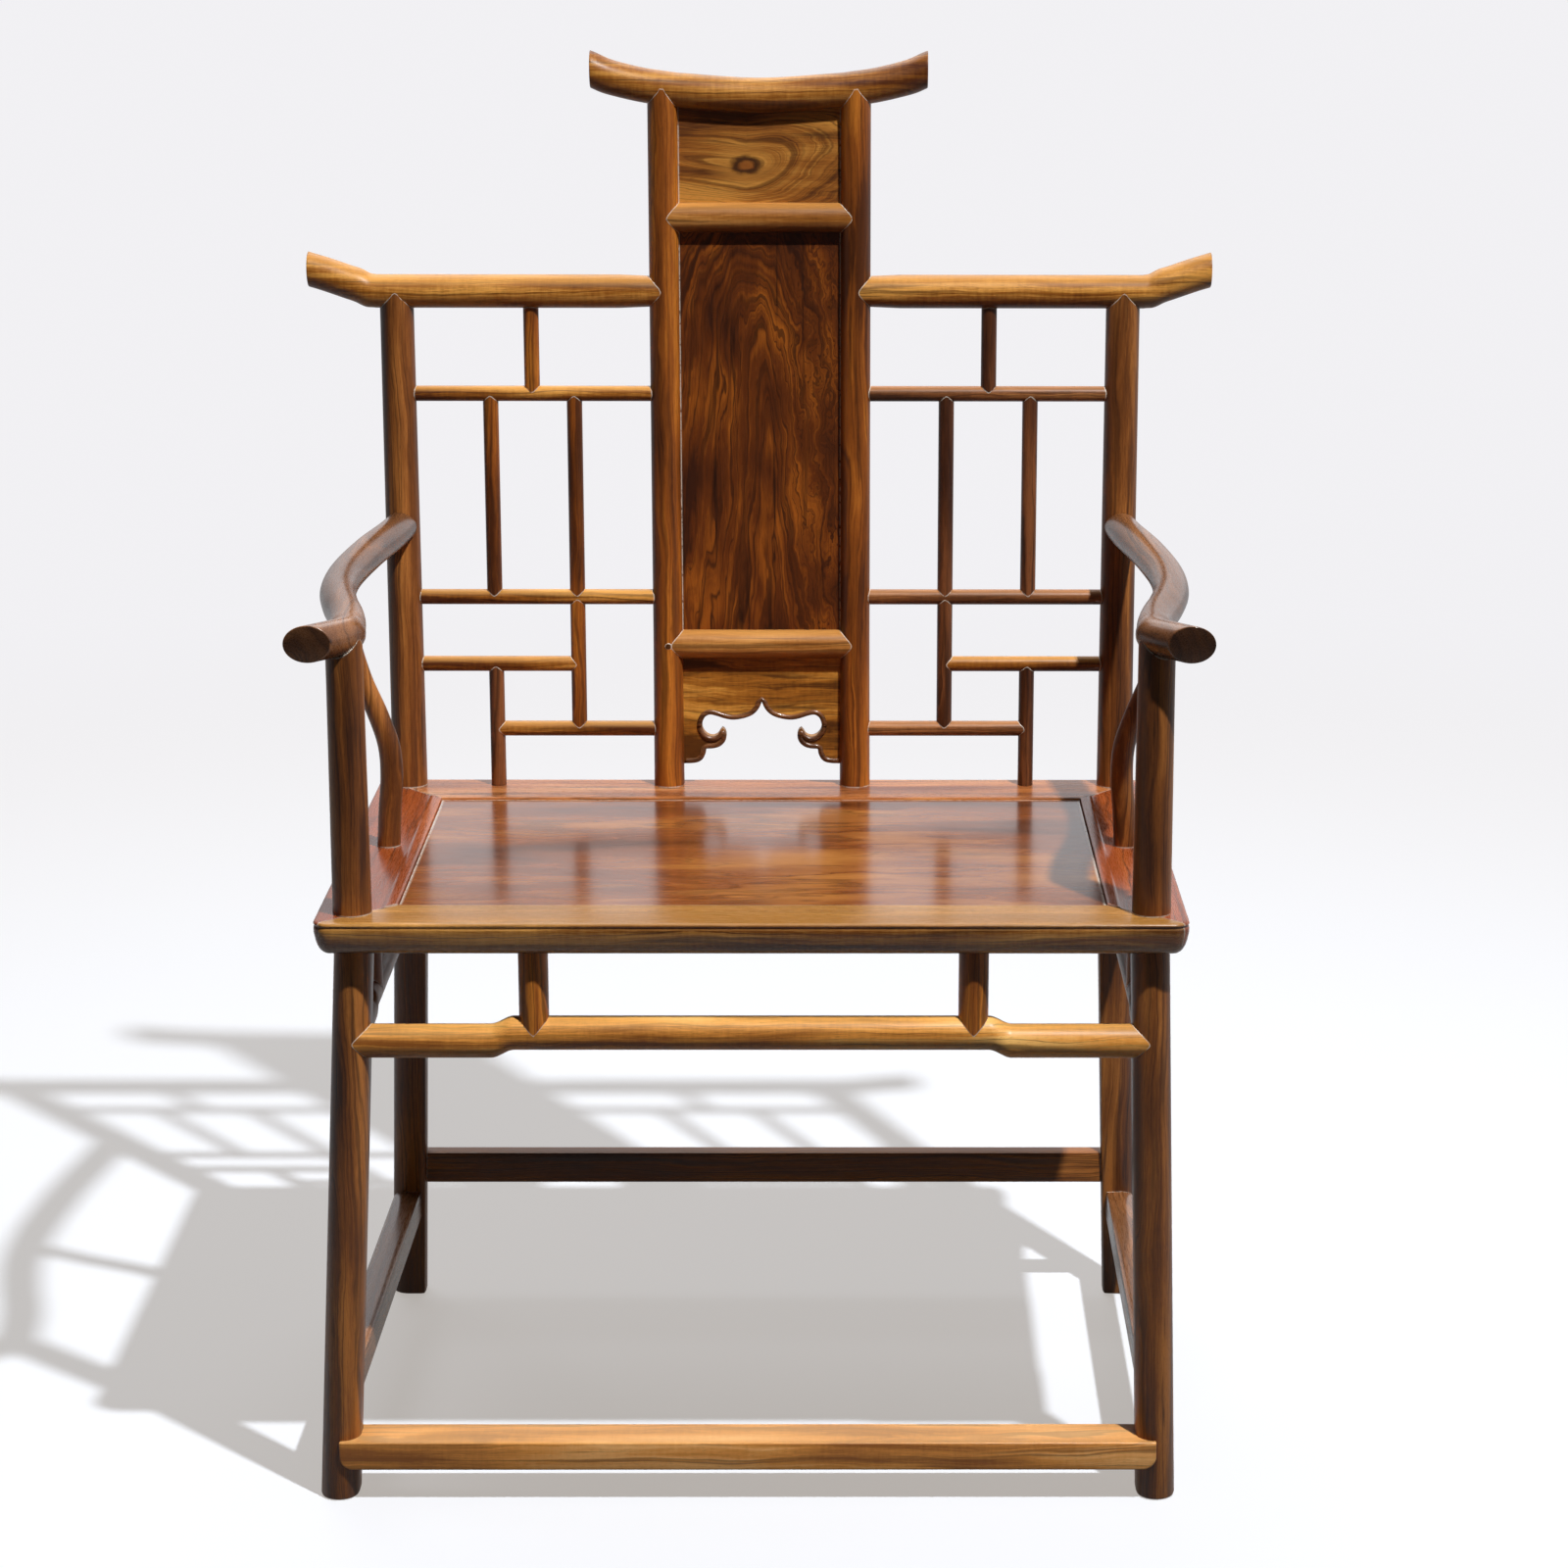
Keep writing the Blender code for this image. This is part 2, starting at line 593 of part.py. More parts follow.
def opening_corner(corner_x, corner_y):
    """A corner of the opening that the seat panel fills."""
    y = OPENING_BACK_Y if corner_y > 0 else OPENING_FRONT_Y
    return Vector((corner_x * OPENING_HALF_WIDTH, y, SEAT_TOP))


def outer_edge_point(corner_x, corner_y, inset, turn):
    """A point on the rounded outer corner of the seat, at a distance in from the edge."""
    radius = max(SEAT_CORNER_RADIUS - inset, 0)
    reach = max(inset, SEAT_CORNER_RADIUS)
    x = corner_x * (SEAT_WIDTH / 2 - reach + radius * math.cos(turn))
    y = SEAT_MIDDLE_Y + corner_y * (SEAT_DEPTH / 2 - reach + radius * math.sin(turn))
    return x, y


def seat_section(corner_x, corner_y, turn):
    """One loop of the seat rails' section at a corner: edge moulding, underside, groove and bead."""
    loop = []
    for across, down in EDGE_PROFILE_SHARES:
        x, y = outer_edge_point(corner_x, corner_y, EDGE_TUCK * across, turn)
        loop.append((x, y, SEAT_TOP - SEAT_THICKNESS * down))
    groove_floor = -GROOVE_BELOW_TOP - GROOVE_HEIGHT
    inside = [
        (0, -SEAT_THICKNESS),
        (0, groove_floor),
        (GROOVE_DEPTH, groove_floor),
        (GROOVE_DEPTH, -GROOVE_BELOW_TOP),
        (0, -GROOVE_BELOW_TOP),
    ]
    inside += [(BEAD_WIDTH * across, BEAD_HEIGHT * up) for across, up in BEAD_PROFILE_SHARES]
    corner = opening_corner(corner_x, corner_y)
    for outward, height in inside:
        loop.append((corner.x + corner_x * outward, corner.y + corner_y * outward, SEAT_TOP + height))
    return loop


def seat_rail(name, corners, keep, tone):
    """One rail of the seat frame, from one corner to the next, cut to its two mitres."""
    bm = bmesh.new()
    loops = []
    for corner_x, corner_y in corners:
        turns = [math.pi / 2 * step / CORNER_STEPS for step in range(CORNER_STEPS + 1)]
        if corner_x * corner_y < 0:
            turns.reverse()
        loops += [[bm.verts.new(point) for point in seat_section(corner_x, corner_y, turn)] for turn in turns]
    for first, second in zip(loops, loops[1:]):
        for index in range(len(first)):
            after = (index + 1) % len(first)
            bm.faces.new((first[index], first[after], second[after], second[index]))
    bmesh.ops.remove_doubles(bm, verts=bm.verts, dist=JOINT_GAP / 10)
    bmesh.ops.dissolve_limit(bm, angle_limit=FLAT_ANGLE, verts=bm.verts, edges=bm.edges)
    for corner_x, corner_y in corners:
        outer = Vector((corner_x * SEAT_WIDTH / 2, SEAT_MIDDLE_Y + corner_y * SEAT_DEPTH / 2, SEAT_TOP))
        normal = (outer - opening_corner(corner_x, corner_y)).cross(Z_AXIS).normalized()
        if (keep - outer).dot(normal) > 0:
            normal.negate()
        place = outer - normal * JOINT_GAP / 2
        geometry = [*bm.verts, *bm.edges, *bm.faces]
        bmesh.ops.bisect_plane(bm, geom=geometry, plane_co=place, plane_no=normal, clear_outer=True)
    bmesh.ops.remove_doubles(bm, verts=bm.verts, dist=JOINT_GAP / 10)
    bmesh.ops.edgeloop_fill(bm, edges=[edge for edge in bm.edges if edge.is_boundary])
    bmesh.ops.recalc_face_normals(bm, faces=bm.faces)
    bmesh.ops.triangulate(bm, faces=bm.faces)
    return piece(name, bm, tone, keep)


def make_seat_frame():
    """The four mitred rails, with their corner tenons and the holes that the legs pass through."""
    front_mid = Vector((0, SEAT_FRONT_Y + FRONT_RAIL_WIDTH / 2, SEAT_BOTTOM))
    back_mid = Vector((0, SEAT_BACK_Y - BACK_RAIL_WIDTH / 2, SEAT_BOTTOM))
    side_mid = Vector((SEAT_WIDTH / 2 - SIDE_RAIL_WIDTH / 2, SEAT_MIDDLE_Y, SEAT_BOTTOM))
    left_mid = Vector((-side_mid.x, side_mid.y, side_mid.z))
    rails = {
        "front": seat_rail("seat_front_rail", ((-1, -1), (1, -1)), front_mid, "golden"),
        "back": seat_rail("seat_back_rail", ((1, 1), (-1, 1)), back_mid, "golden"),
        "left": seat_rail("seat_left_rail", ((-1, 1), (-1, -1)), left_mid, "red"),
        "right": seat_rail("seat_right_rail", ((1, -1), (1, 1)), side_mid, "red"),
    }
    tenon_z = SEAT_BOTTOM + (SEAT_THICKNESS - GROOVE_BELOW_TOP - GROOVE_HEIGHT) / 2
    for end, corner_y, opening_y in (("front", -1, OPENING_FRONT_Y), ("back", 1, OPENING_BACK_Y)):
        for label, side in SIDES:
            y = opening_y + corner_y * MITRE_TENON_INSET
            shoulder = Vector((side * OPENING_HALF_WIDTH, y, tenon_z))
            length = SIDE_RAIL_WIDTH - MITRE_TENON_REACH
            tenon(
                rails[end], rails[label], shoulder, X_AXIS * side, length,
                MITRE_TENON_WIDTH, MITRE_TENON_HEIGHT, root=CUT_OVERRUN * 2,
            )
            hole_y = FRONT_Y if end == "front" else BACK_Y
            below = Vector((side * LEG_X, hole_y, SEAT_BOTTOM - CUT_OVERRUN))
            above = Vector((side * LEG_X, hole_y, SEAT_TOP + CUT_OVERRUN))
            hole = straight(below, above, NECK_RADIUS, outline=ROUND)
            cut(rails[end], hole, JOINT_GAP)
            cut(rails[label], hole, JOINT_GAP)
    return rails


def make_seat_panel(rails):
    """The floating seat panel, tongued into the rails, and the dovetailed battens under it."""
    reach = GROOVE_DEPTH - 2 * JOINT_GAP
    top = SEAT_TOP - PANEL_BELOW_TOP
    bottom = SEAT_TOP - GROOVE_BELOW_TOP - GROOVE_HEIGHT + JOINT_GAP
    shoulder = SEAT_TOP - GROOVE_BELOW_TOP - JOINT_GAP
    middle_y = (OPENING_FRONT_Y + OPENING_BACK_Y) / 2
    half_deep = (OPENING_BACK_Y - OPENING_FRONT_Y) / 2
    outer = (OPENING_HALF_WIDTH + reach, half_deep + reach)
    field = (OPENING_HALF_WIDTH - PANEL_SEAM, half_deep - PANEL_SEAM)
    levels = ((bottom, outer), (shoulder, outer), (shoulder, field), (top, field))
    path = [Vector((0, middle_y, height)) for height, _ in levels]
    board = Member(path, [size for _, size in levels], SQUARE, normal=Z_AXIS)
    panel = piece("seat_panel", board.build(), "golden", Vector((0, middle_y, bottom)))
    head = BATTEN_HEAD_HEIGHT
    body = BATTEN_BODY_HEIGHT
    outline = [
        (-BATTEN_WIDTH / 2, head), (-BATTEN_NECK / 2, 0), (-BATTEN_WIDTH / 2, 0), (-BATTEN_WIDTH / 2, -body),
        (BATTEN_WIDTH / 2, -body), (BATTEN_WIDTH / 2, 0), (BATTEN_NECK / 2, 0), (BATTEN_WIDTH / 2, head),
    ]
    for label, side in SIDES:
        x = side * BATTEN_SPACING / 2
        front = Vector((x, OPENING_FRONT_Y + JOINT_GAP, bottom - JOINT_GAP))
        back = Vector((x, OPENING_BACK_Y - JOINT_GAP, bottom - JOINT_GAP))
        batten = piece(f"seat_batten_{label}", Member([front, back], [1, 1], outline).build(), "brown", front)
        top_half = BATTEN_WIDTH / 2 + 2 * JOINT_GAP
        neck_half = BATTEN_NECK / 2 + JOINT_GAP
        section = [
            (-top_half, head + JOINT_GAP), (-neck_half, 0), (-neck_half, -CUT_OVERRUN),
            (neck_half, -CUT_OVERRUN), (neck_half, 0), (top_half, head + JOINT_GAP),
        ]
        beyond = Y_AXIS * (GROOVE_DEPTH + CUT_OVERRUN)
        cut(panel, Member([front - beyond, back + beyond], [1, 1], section))
        middle = Z_AXIS * -(body / 2)
        for end, place, direction in (("front", front, -Y_AXIS), ("back", back, Y_AXIS)):
            tenon(
                batten, rails[end], place + middle, direction, BATTEN_TENON_LENGTH,
                BATTEN_NECK, BATTEN_TENON_HEIGHT,
            )


def make_legs():
    """Four one-piece legs. Each carries the seat on a shoulder and runs on as a post."""
    legs = {}
    for front, word in ((True, "front"), (False, "rear")):
        for label, side in SIDES:
            leg = piece(
                f"{word}_leg_{label}", lower_leg(side, front).build(), "brown", foot_centre(side, front)
            )
            join(leg, upper_leg(side, front))
            legs[word, label] = leg
    return legs


def make_back(rails, legs):
    """Crest rail, wing rails, centre posts, cross rails, the three panels and the visible peg."""
    headrail_shape = headrail_member()
    headrail = piece("headrail", headrail_shape.build(), "golden", Vector((0, BACK_Y, HEADRAIL_HEIGHT)))
    posts = {}
    wings = {}
    for label, side in SIDES:
        shape = centre_post_member(side)
        post = piece(f"centre_post_{label}", shape.build(), "red", shape.path[0])
        cut(post, headrail_shape, JOINT_GAP)
        x = side * CENTRE_POST_X
        under_crest = Vector((x, BACK_Y, headrail_height(x) - HEADRAIL_RADIUS))
        tenon(post, headrail, under_crest, Z_AXIS, POST_TENON_LENGTH, POST_TENON_WIDTH, POST_TENON_WIDTH)
        on_seat = Vector((x, BACK_Y, SEAT_TOP))
        tenon(post, rails["back"], on_seat, -Z_AXIS, POST_TENON_LENGTH, POST_TENON_WIDTH, POST_TENON_WIDTH)
        posts[label] = post
        wing_shape = wing_member(side)
        wing = piece(f"wing_rail_{label}", wing_shape.build(), "golden", wing_shape.path[0])
        cut(wing, shape, JOINT_GAP)
        beside_post = Vector((side * (CENTRE_POST_X + CENTRE_POST_RADIUS), BACK_Y, WING_HEIGHT))
        tenon(wing, post, beside_post, X_AXIS * -side, WING_TENON_LENGTH, LEG_TENON_WIDTH, LEG_TENON_HEIGHT)
        rear_leg = legs["rear", label]
        cut(rear_leg, wing_shape, JOINT_GAP)
        under_wing = Vector((side * LEG_X, BACK_Y, WING_HEIGHT - WING_RADIUS))
        tenon(rear_leg, wing, under_wing, Z_AXIS, POST_TENON_LENGTH, POST_TENON_WIDTH, POST_TENON_WIDTH)
        wings[label] = wing
    cross_rails = {}
    for word, height in (("upper", UPPER_CROSS_HEIGHT), ("lower", LOWER_CROSS_HEIGHT)):
        middle = Vector((0, BACK_Y, height))
        rail = piece(f"{word}_cross_rail", cross_rail_member(height).build(), "honey", middle)
        for label, side in SIDES:
            cut(rail, centre_post_member(side), JOINT_GAP)
            shoulder = Vector((side * (CENTRE_POST_X - CENTRE_POST_RADIUS), BACK_Y, height))
            tenon(
                rail, posts[label], shoulder, X_AXIS * side, CROSS_TENON_LENGTH,
                CROSS_TENON_WIDTH, CROSS_TENON_HEIGHT,
            )
        cross_rails[word] = rail
    make_back_panels(headrail, posts, cross_rails)
    make_peg(posts["left"], cross_rails["lower"])
    return posts, wings


def board_blank(outline, thickness):
    """A thin board of the given front outline, standing between the centre posts."""
    bm = bmesh.new()
    face = bm.faces.new([bm.verts.new((x, BACK_PANEL_Y - thickness / 2, z)) for x, z in outline])
    made = bmesh.ops.extrude_face_region(bm, geom=[face])["geom"]
    moved = [item for item in made if isinstance(item, bmesh.types.BMVert)]
    bmesh.ops.translate(bm, verts=moved, vec=Y_AXIS * thickness)
    bmesh.ops.recalc_face_normals(bm, faces=bm.faces)
    return bm


def panel_outline(low, high, grow=0):
    """A back panel's outline with its tongues, up to a level edge, or to the crest rail's underside."""
    half = CENTRE_POST_X - CENTRE_POST_RADIUS + BACK_GROOVE_DEPTH + grow
    bottom = [(-half, low - grow), (half, low - grow)]
    if high is not None:
        return [*bottom, (half, high + grow), (-half, high + grow)]
    lift = BACK_GROOVE_DEPTH - HEADRAIL_RADIUS + grow
    return bottom + [(half * share, headrail_height(half * share) + lift) for share in CREST_STEP_SHARES]


def fit_panel(name, tone, low, high, seats):
    """A panel of the back, and the grooves that its tongues fill in the pieces around it."""
    panel = piece(
        name, board_blank(panel_outline(low, high), BACK_PANEL_THICKNESS), tone, Vector((0, BACK_PANEL_Y, low))
    )
    for seat in seats:
        groove = board_blank(panel_outline(low, high, JOINT_GAP), BACK_PANEL_THICKNESS + 2 * JOINT_GAP)
        combine(seat, guide(f"{seat.name}_groove", groove), "DIFFERENCE")
    return panel


def apron_outline(top):
    """The apron's outline: tongued top and sides, and the scrolled opening in its lower edge."""
    inner = CENTRE_POST_X - CENTRE_POST_RADIUS
    half = inner + BACK_GROOVE_DEPTH
    curve = []
    for shares in (SCROLL_SHARES, HOOK_SHARES, SCALLOP_SHARES):
        points = [Vector((inner * across, APRON_FOOT + APRON_HEIGHT * up)) for across, up in shares]
        curve += smooth_path(points, APRON_SPLINE_STEPS)
    right = [(point.x, point.y) for point in curve]
    left = [(-x, z) for x, z in reversed(right[1:])]
    return [(half, top), (-half, top), (-half, APRON_FOOT), *left, *right, (half, APRON_FOOT)]


def make_back_panels(headrail, posts, cross_rails):
    """Top panel under the crest rail, tall figured panel, and the apron with its scrolled opening."""
    tuck = CROSS_RAIL_RADIUS - BACK_GROOVE_DEPTH
    uprights = list(posts.values())
    upper_seats = [headrail, cross_rails["upper"], *uprights]
    fit_panel("upper_panel", "honey", UPPER_CROSS_HEIGHT + tuck, None, upper_seats)
    main_seats = [*cross_rails.values(), *uprights]
    fit_panel("main_panel", "figured", LOWER_CROSS_HEIGHT + tuck, UPPER_CROSS_HEIGHT - tuck, main_seats)
    top = LOWER_CROSS_HEIGHT - tuck
    blank = board_blank(apron_outline(top), APRON_THICKNESS)
    piece("apron_panel", blank, "honey", Vector((0, BACK_PANEL_Y, APRON_FOOT)))
    for seat in (cross_rails["lower"], *uprights):
        groove = board_blank(panel_outline(APRON_FOOT, top, JOINT_GAP), APRON_THICKNESS + 2 * JOINT_GAP)
        combine(seat, guide(f"{seat.name}_groove", groove), "DIFFERENCE")


def make_peg(post, rail):
    """The peg that pins the lower cross rail's tenon in the left centre post."""
    x = -CENTRE_POST_X - PEG_OFFSET
    reach = CENTRE_POST_RADIUS + PEG_STANDS_PROUD
    front = Vector((x, BACK_Y - reach, LOWER_CROSS_HEIGHT))
    back = Vector((x, BACK_Y + reach, LOWER_CROSS_HEIGHT))
    shape = straight(front, back, PEG_RADIUS, outline=SLIM_ROUND)
    piece("centre_post_peg", shape.build(), "brown", front)
    beyond = Y_AXIS * CUT_OVERRUN
    hole = straight(front - beyond, back + beyond, PEG_RADIUS, outline=SLIM_ROUND)
    cut(post, hole, JOINT_GAP)
    cut(rail, hole, JOINT_GAP)


def make_lattice(rails, legs, posts, wings):
    """Nine round bars on each side of the back, coped and tenoned into each other and into the frame."""
    for label, side in SIDES:

        def at(x, z, side=side):
            return Vector((side * x, BACK_Y, z))

        rear_leg = legs["rear", label]
        frame = {
            "post": (posts[label], centre_post_member(side), CENTRE_POST_RADIUS, BAR_TENON_IN_POST),
            "leg": (rear_leg, upper_leg(side, False), POST_RADIUS, BAR_TENON_IN_POST),
            "wing": (wings[label], wing_member(side), WING_RADIUS, BAR_TENON_IN_POST),
        }
        places = {
            "top_rail": (at(CENTRE_POST_X, LATTICE_TOP_HEIGHT), at(LEG_X, LATTICE_TOP_HEIGHT)),
            "middle_rail": (at(CENTRE_POST_X, LATTICE_MIDDLE_HEIGHT), at(LEG_X, LATTICE_MIDDLE_HEIGHT)),
            "short_rail": (at(LATTICE_INNER_X, LATTICE_SHORT_HEIGHT), at(LEG_X, LATTICE_SHORT_HEIGHT)),
            "bottom_rail": (
                at(CENTRE_POST_X, LATTICE_BOTTOM_HEIGHT), at(LATTICE_OUTER_X, LATTICE_BOTTOM_HEIGHT)
            ),
            "top_upright": (at(LATTICE_MIDDLE_X, LATTICE_TOP_HEIGHT), at(LATTICE_MIDDLE_X, WING_HEIGHT)),
            "outer_upright": (
                at(LATTICE_OUTER_X, LATTICE_MIDDLE_HEIGHT), at(LATTICE_OUTER_X, LATTICE_TOP_HEIGHT)
            ),
            "inner_upright": (
                at(LATTICE_INNER_X, LATTICE_MIDDLE_HEIGHT), at(LATTICE_INNER_X, LATTICE_TOP_HEIGHT)
            ),
            "hanging_upright": (
                at(LATTICE_INNER_X, LATTICE_BOTTOM_HEIGHT), at(LATTICE_INNER_X, LATTICE_MIDDLE_HEIGHT)
            ),
            "standing_upright": (
                at(LATTICE_OUTER_X, SEAT_TOP + JOINT_GAP), at(LATTICE_OUTER_X, LATTICE_SHORT_HEIGHT)
            ),
        }
        carriers = {
            "top_rail": ("post", "leg"),
            "middle_rail": ("post", "leg"),
            "short_rail": ("hanging_upright", "leg"),
            "bottom_rail": ("post", "standing_upright"),
            "top_upright": ("top_rail", "wing"),
            "outer_upright": ("middle_rail", "top_rail"),
            "inner_upright": ("middle_rail", "top_rail"),
            "hanging_upright": ("bottom_rail", "middle_rail"),
            "standing_upright": ("seat", "short_rail"),
        }
        bars = {}
        for name, (start, end) in places.items():
            shape = bar_member(start, end)
            bar = piece(f"lattice_{name}_{label}", shape.build(), "golden", start)
            bars[name] = (bar, shape, BAR_RADIUS, BAR_TENON_IN_BAR)
        carried_by = {**frame, **bars}
        for name, ends in carriers.items():
            bar = bars[name][0]
            for carrier_name, place, other in zip(ends, places[name], reversed(places[name])):
                direction = (place - other).normalized()
                if carrier_name == "seat":
                    tenon(
                        bar, rails["back"], place, direction, BAR_TENON_IN_POST, BAR_TENON_SIDE, BAR_TENON_SIDE
                    )
                    continue
                carrier, shape, radius, length = carried_by[carrier_name]
                cut(bar, shape, JOINT_GAP)
                shoulder = place - direction * radius
                tenon(bar, carrier, shoulder, direction, length, BAR_TENON_SIDE, BAR_TENON_SIDE)


def make_arms(rails, legs):
    """The arms and their gooseneck side posts."""
    for label, side in SIDES:
        shape = arm_member(side)
        arm = piece(f"arm_{label}", shape.build(), "brown", shape.path[0])
        rear_leg = legs["rear", label]
        front_leg = legs["front", label]
        cut(arm, upper_leg(side, False), JOINT_GAP)
        behind = Vector((side * LEG_X, BACK_Y - BACK_POST_TOP_RADIUS, ARM_BACK_HEIGHT))
        tenon(arm, rear_leg, behind, Y_AXIS, LEG_TENON_LENGTH, LEG_TENON_WIDTH, LEG_TENON_HEIGHT)
        cut(front_leg, shape, JOINT_GAP)
        under_arm = Vector((side * LEG_X, FRONT_Y, ARM_FRONT_HEIGHT - ARM_RADIUS))
        tenon(front_leg, arm, under_arm, Z_AXIS, POST_TENON_LENGTH, POST_TENON_WIDTH, POST_TENON_WIDTH)
        strut_shape = arm_strut_member(side)
        strut = piece(f"arm_strut_{label}", strut_shape.build(), "brown", strut_shape.path[0])
        cut(strut, shape, JOINT_GAP)
        width = STRUT_TENON_SIDE
        under = strut_shape.path[-1] - Z_AXIS * ARM_RADIUS
        tenon(strut, arm, under, Z_AXIS, STRUT_TENON_LENGTH, width, width)
        tenon(strut, rails[label], strut_shape.path[0], -Z_AXIS, STRUT_TENON_LENGTH, width, width)


def fit_stretcher(stretcher, legs, ends, height):
    """Copes a stretcher on its two legs and tenons it into them."""
    for (word, label, side, front), (place, other) in ends:
        cut(stretcher, lower_leg(side, front), JOINT_GAP)
        direction = (place - other).normalized()
        shoulder = place - direction * leg_radius(height)
        leg = legs[word, label]
        tenon(stretcher, leg, shoulder, direction, LEG_TENON_LENGTH, LEG_TENON_WIDTH, LEG_TENON_HEIGHT)


def leg_pair(word):
    """The two legs that a stretcher joins: both front, both rear, or front and rear on one side."""
    if word in ("front", "rear"):
        return [(word, label, side, word == "front") for label, side in SIDES]
    side = dict(SIDES)[word]
    return [("front", word, side, True), ("rear", word, side, False)]


def stretcher_ends(word, height, half_width):
    """The two legs of a stretcher and the ends of its axis."""
    pair = leg_pair(word)
    along_x = word in ("front", "rear")
    places = [flush_axis(side, front, height, half_width, along_x) for _, _, side, front in pair]
    return list(zip(pair, (places, places[::-1])))


def make_hump_stretchers(rails, legs):
    """A humpback stretcher under each seat rail, with two struts that prop the rail."""
    spacings = {
        "front": FRONT_STRUT_SPACING, "rear": FRONT_STRUT_SPACING,
        "left": SIDE_STRUT_SPACING, "right": SIDE_STRUT_SPACING,
    }
    flat_sides = {"front": 1, "rear": -1, "left": -1, "right": 1}
    rail_names = {"front": "front", "rear": "back", "left": "left", "right": "right"}
    for word, spacing in spacings.items():
        ends = stretcher_ends(word, HUMP_LOW_HEIGHT, HUMP_RADIUS)
        (start, end) = ends[0][1]
        shape = hump_member(start, end, flat_sides[word])
        stretcher = piece(f"{word}_humpback_stretcher", shape.build(), "golden", start)
        fit_stretcher(stretcher, legs, ends, HUMP_LOW_HEIGHT)
        along = (end - start).normalized()
        middle = (start + end) / 2
        labels = ("left", "right") if word in ("front", "rear") else ("front", "rear")
        for label, step in zip(labels, (-1, 1)):
            foot = middle + along * step * spacing / 2 + Z_AXIS * HUMP_RISE
            head = Vector((foot.x, foot.y, SEAT_BOTTOM - JOINT_GAP))
            prop = straight(foot, head, HUMP_STRUT_RADIUS, outline=SLIM_ROUND)
            strut = piece(f"{word}_strut_{label}", prop.build(), "brown", foot)
            cut(strut, shape, JOINT_GAP)
            width = STRUT_TENON_SIDE
            on_hump = foot + Z_AXIS * HUMP_RADIUS
            tenon(strut, stretcher, on_hump, -Z_AXIS, STRUT_TENON_LENGTH, width, width)
            tenon(strut, rails[rail_names[word]], head, Z_AXIS, STRUT_TENON_LENGTH, width, width)


def make_lower_stretchers(legs):
    """The foot rest in front, then the side stretchers, then the rear one, each a step higher."""
    height = FOOT_REST_TOP - FOOT_REST_THICKNESS / 2
    half_width = FOOT_REST_WIDTH / 2
    ends = [leg_centre(side, True, height) for _, side in SIDES]
    front_y = ends[0].y - leg_radius(height) - FOOT_REST_LIP
    corner = FOOT_REST_CORNER
    half = abs(ends[0].x)
    top = FOOT_REST_TOP
    bottom = top - FOOT_REST_THICKNESS
    arc = []
    for step in range(CORNER_STEPS + 1):
        turn = math.pi / 2 * step / CORNER_STEPS
        arc.append((half - corner + corner * math.cos(turn), bottom + corner - corner * math.sin(turn)))
    outline = [(half, top), *arc, *((-x, z) for x, z in reversed(arc)), (-half, top)]
    bm = bmesh.new()
    face = bm.faces.new([bm.verts.new((x, front_y, z)) for x, z in outline])
    made = bmesh.ops.extrude_face_region(bm, geom=[face])["geom"]
    moved = [item for item in made if isinstance(item, bmesh.types.BMVert)]
    bmesh.ops.translate(bm, verts=moved, vec=Y_AXIS * FOOT_REST_WIDTH)
    bmesh.ops.recalc_face_normals(bm, faces=bm.faces)
    middle = Vector((0, front_y + half_width, height))
    foot_rest = piece("foot_rest", bm, "golden", middle)
    fit_stretcher(foot_rest, legs, list(zip(leg_pair("front"), (ends, ends[::-1]))), height)
    flats = {"left": -1, "right": 1, "rear": -1}
    for word in ("left", "right", "rear"):
        is_rear = word == "rear"
        height = REAR_STRETCHER_HEIGHT if is_rear else SIDE_STRETCHER_HEIGHT
        half_width = REAR_STRETCHER_HALF_WIDTH if is_rear else SIDE_STRETCHER_HALF_WIDTH
        half_height = REAR_STRETCHER_HALF_HEIGHT if is_rear else SIDE_STRETCHER_HALF_HEIGHT
        stretcher_pairs = stretcher_ends(word, height, half_width)
        (start, end) = stretcher_pairs[0][1]
        outline = half_round_outline(ROUND_SIDES, flats[word])
        shape = Member([start, end], [(half_width, half_height)] * 2, outline)
        name = "rear_lower_stretcher" if is_rear else f"side_lower_stretcher_{word}"
        stretcher = piece(name, shape.build(), "brown", start)
        fit_stretcher(stretcher, legs, stretcher_pairs, height)


def weld_pieces():
    """Merges the corners that a cut has left almost on top of each other."""
    for obj in CHAIR.children:
        weld = obj.modifiers.new("weld", "WELD")
        weld.merge_threshold = WELD_DISTANCE


clear_scene()
CHAIR = bpy.data.objects.new("officials_hat_armchair", None)
bpy.context.scene.collection.objects.link(CHAIR)
seat_rails = make_seat_frame()
make_seat_panel(seat_rails)
chair_legs = make_legs()
centre_posts, wing_rails = make_back(seat_rails, chair_legs)
make_lattice(seat_rails, chair_legs, centre_posts, wing_rails)
make_arms(seat_rails, chair_legs)
make_hump_stretchers(seat_rails, chair_legs)
make_lower_stretchers(chair_legs)
weld_pieces()
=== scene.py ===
"""Looks of an officials hat armchair in polished rosewood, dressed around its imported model.

Every member of the chair is drawn again with fine sections, close joints and a grain of its own, where its
CAD node stands. Metres, +Z up. The sitter faces -Y, +X is on the right of someone who looks at the front,
and the origin is on the floor under the middle of the chair.
"""

import logging
import math
from collections.abc import Iterator, Sequence
from dataclasses import dataclass
from enum import Enum
from itertools import count
from typing import Any

import bmesh
import bpy
from mathutils import Matrix, Vector


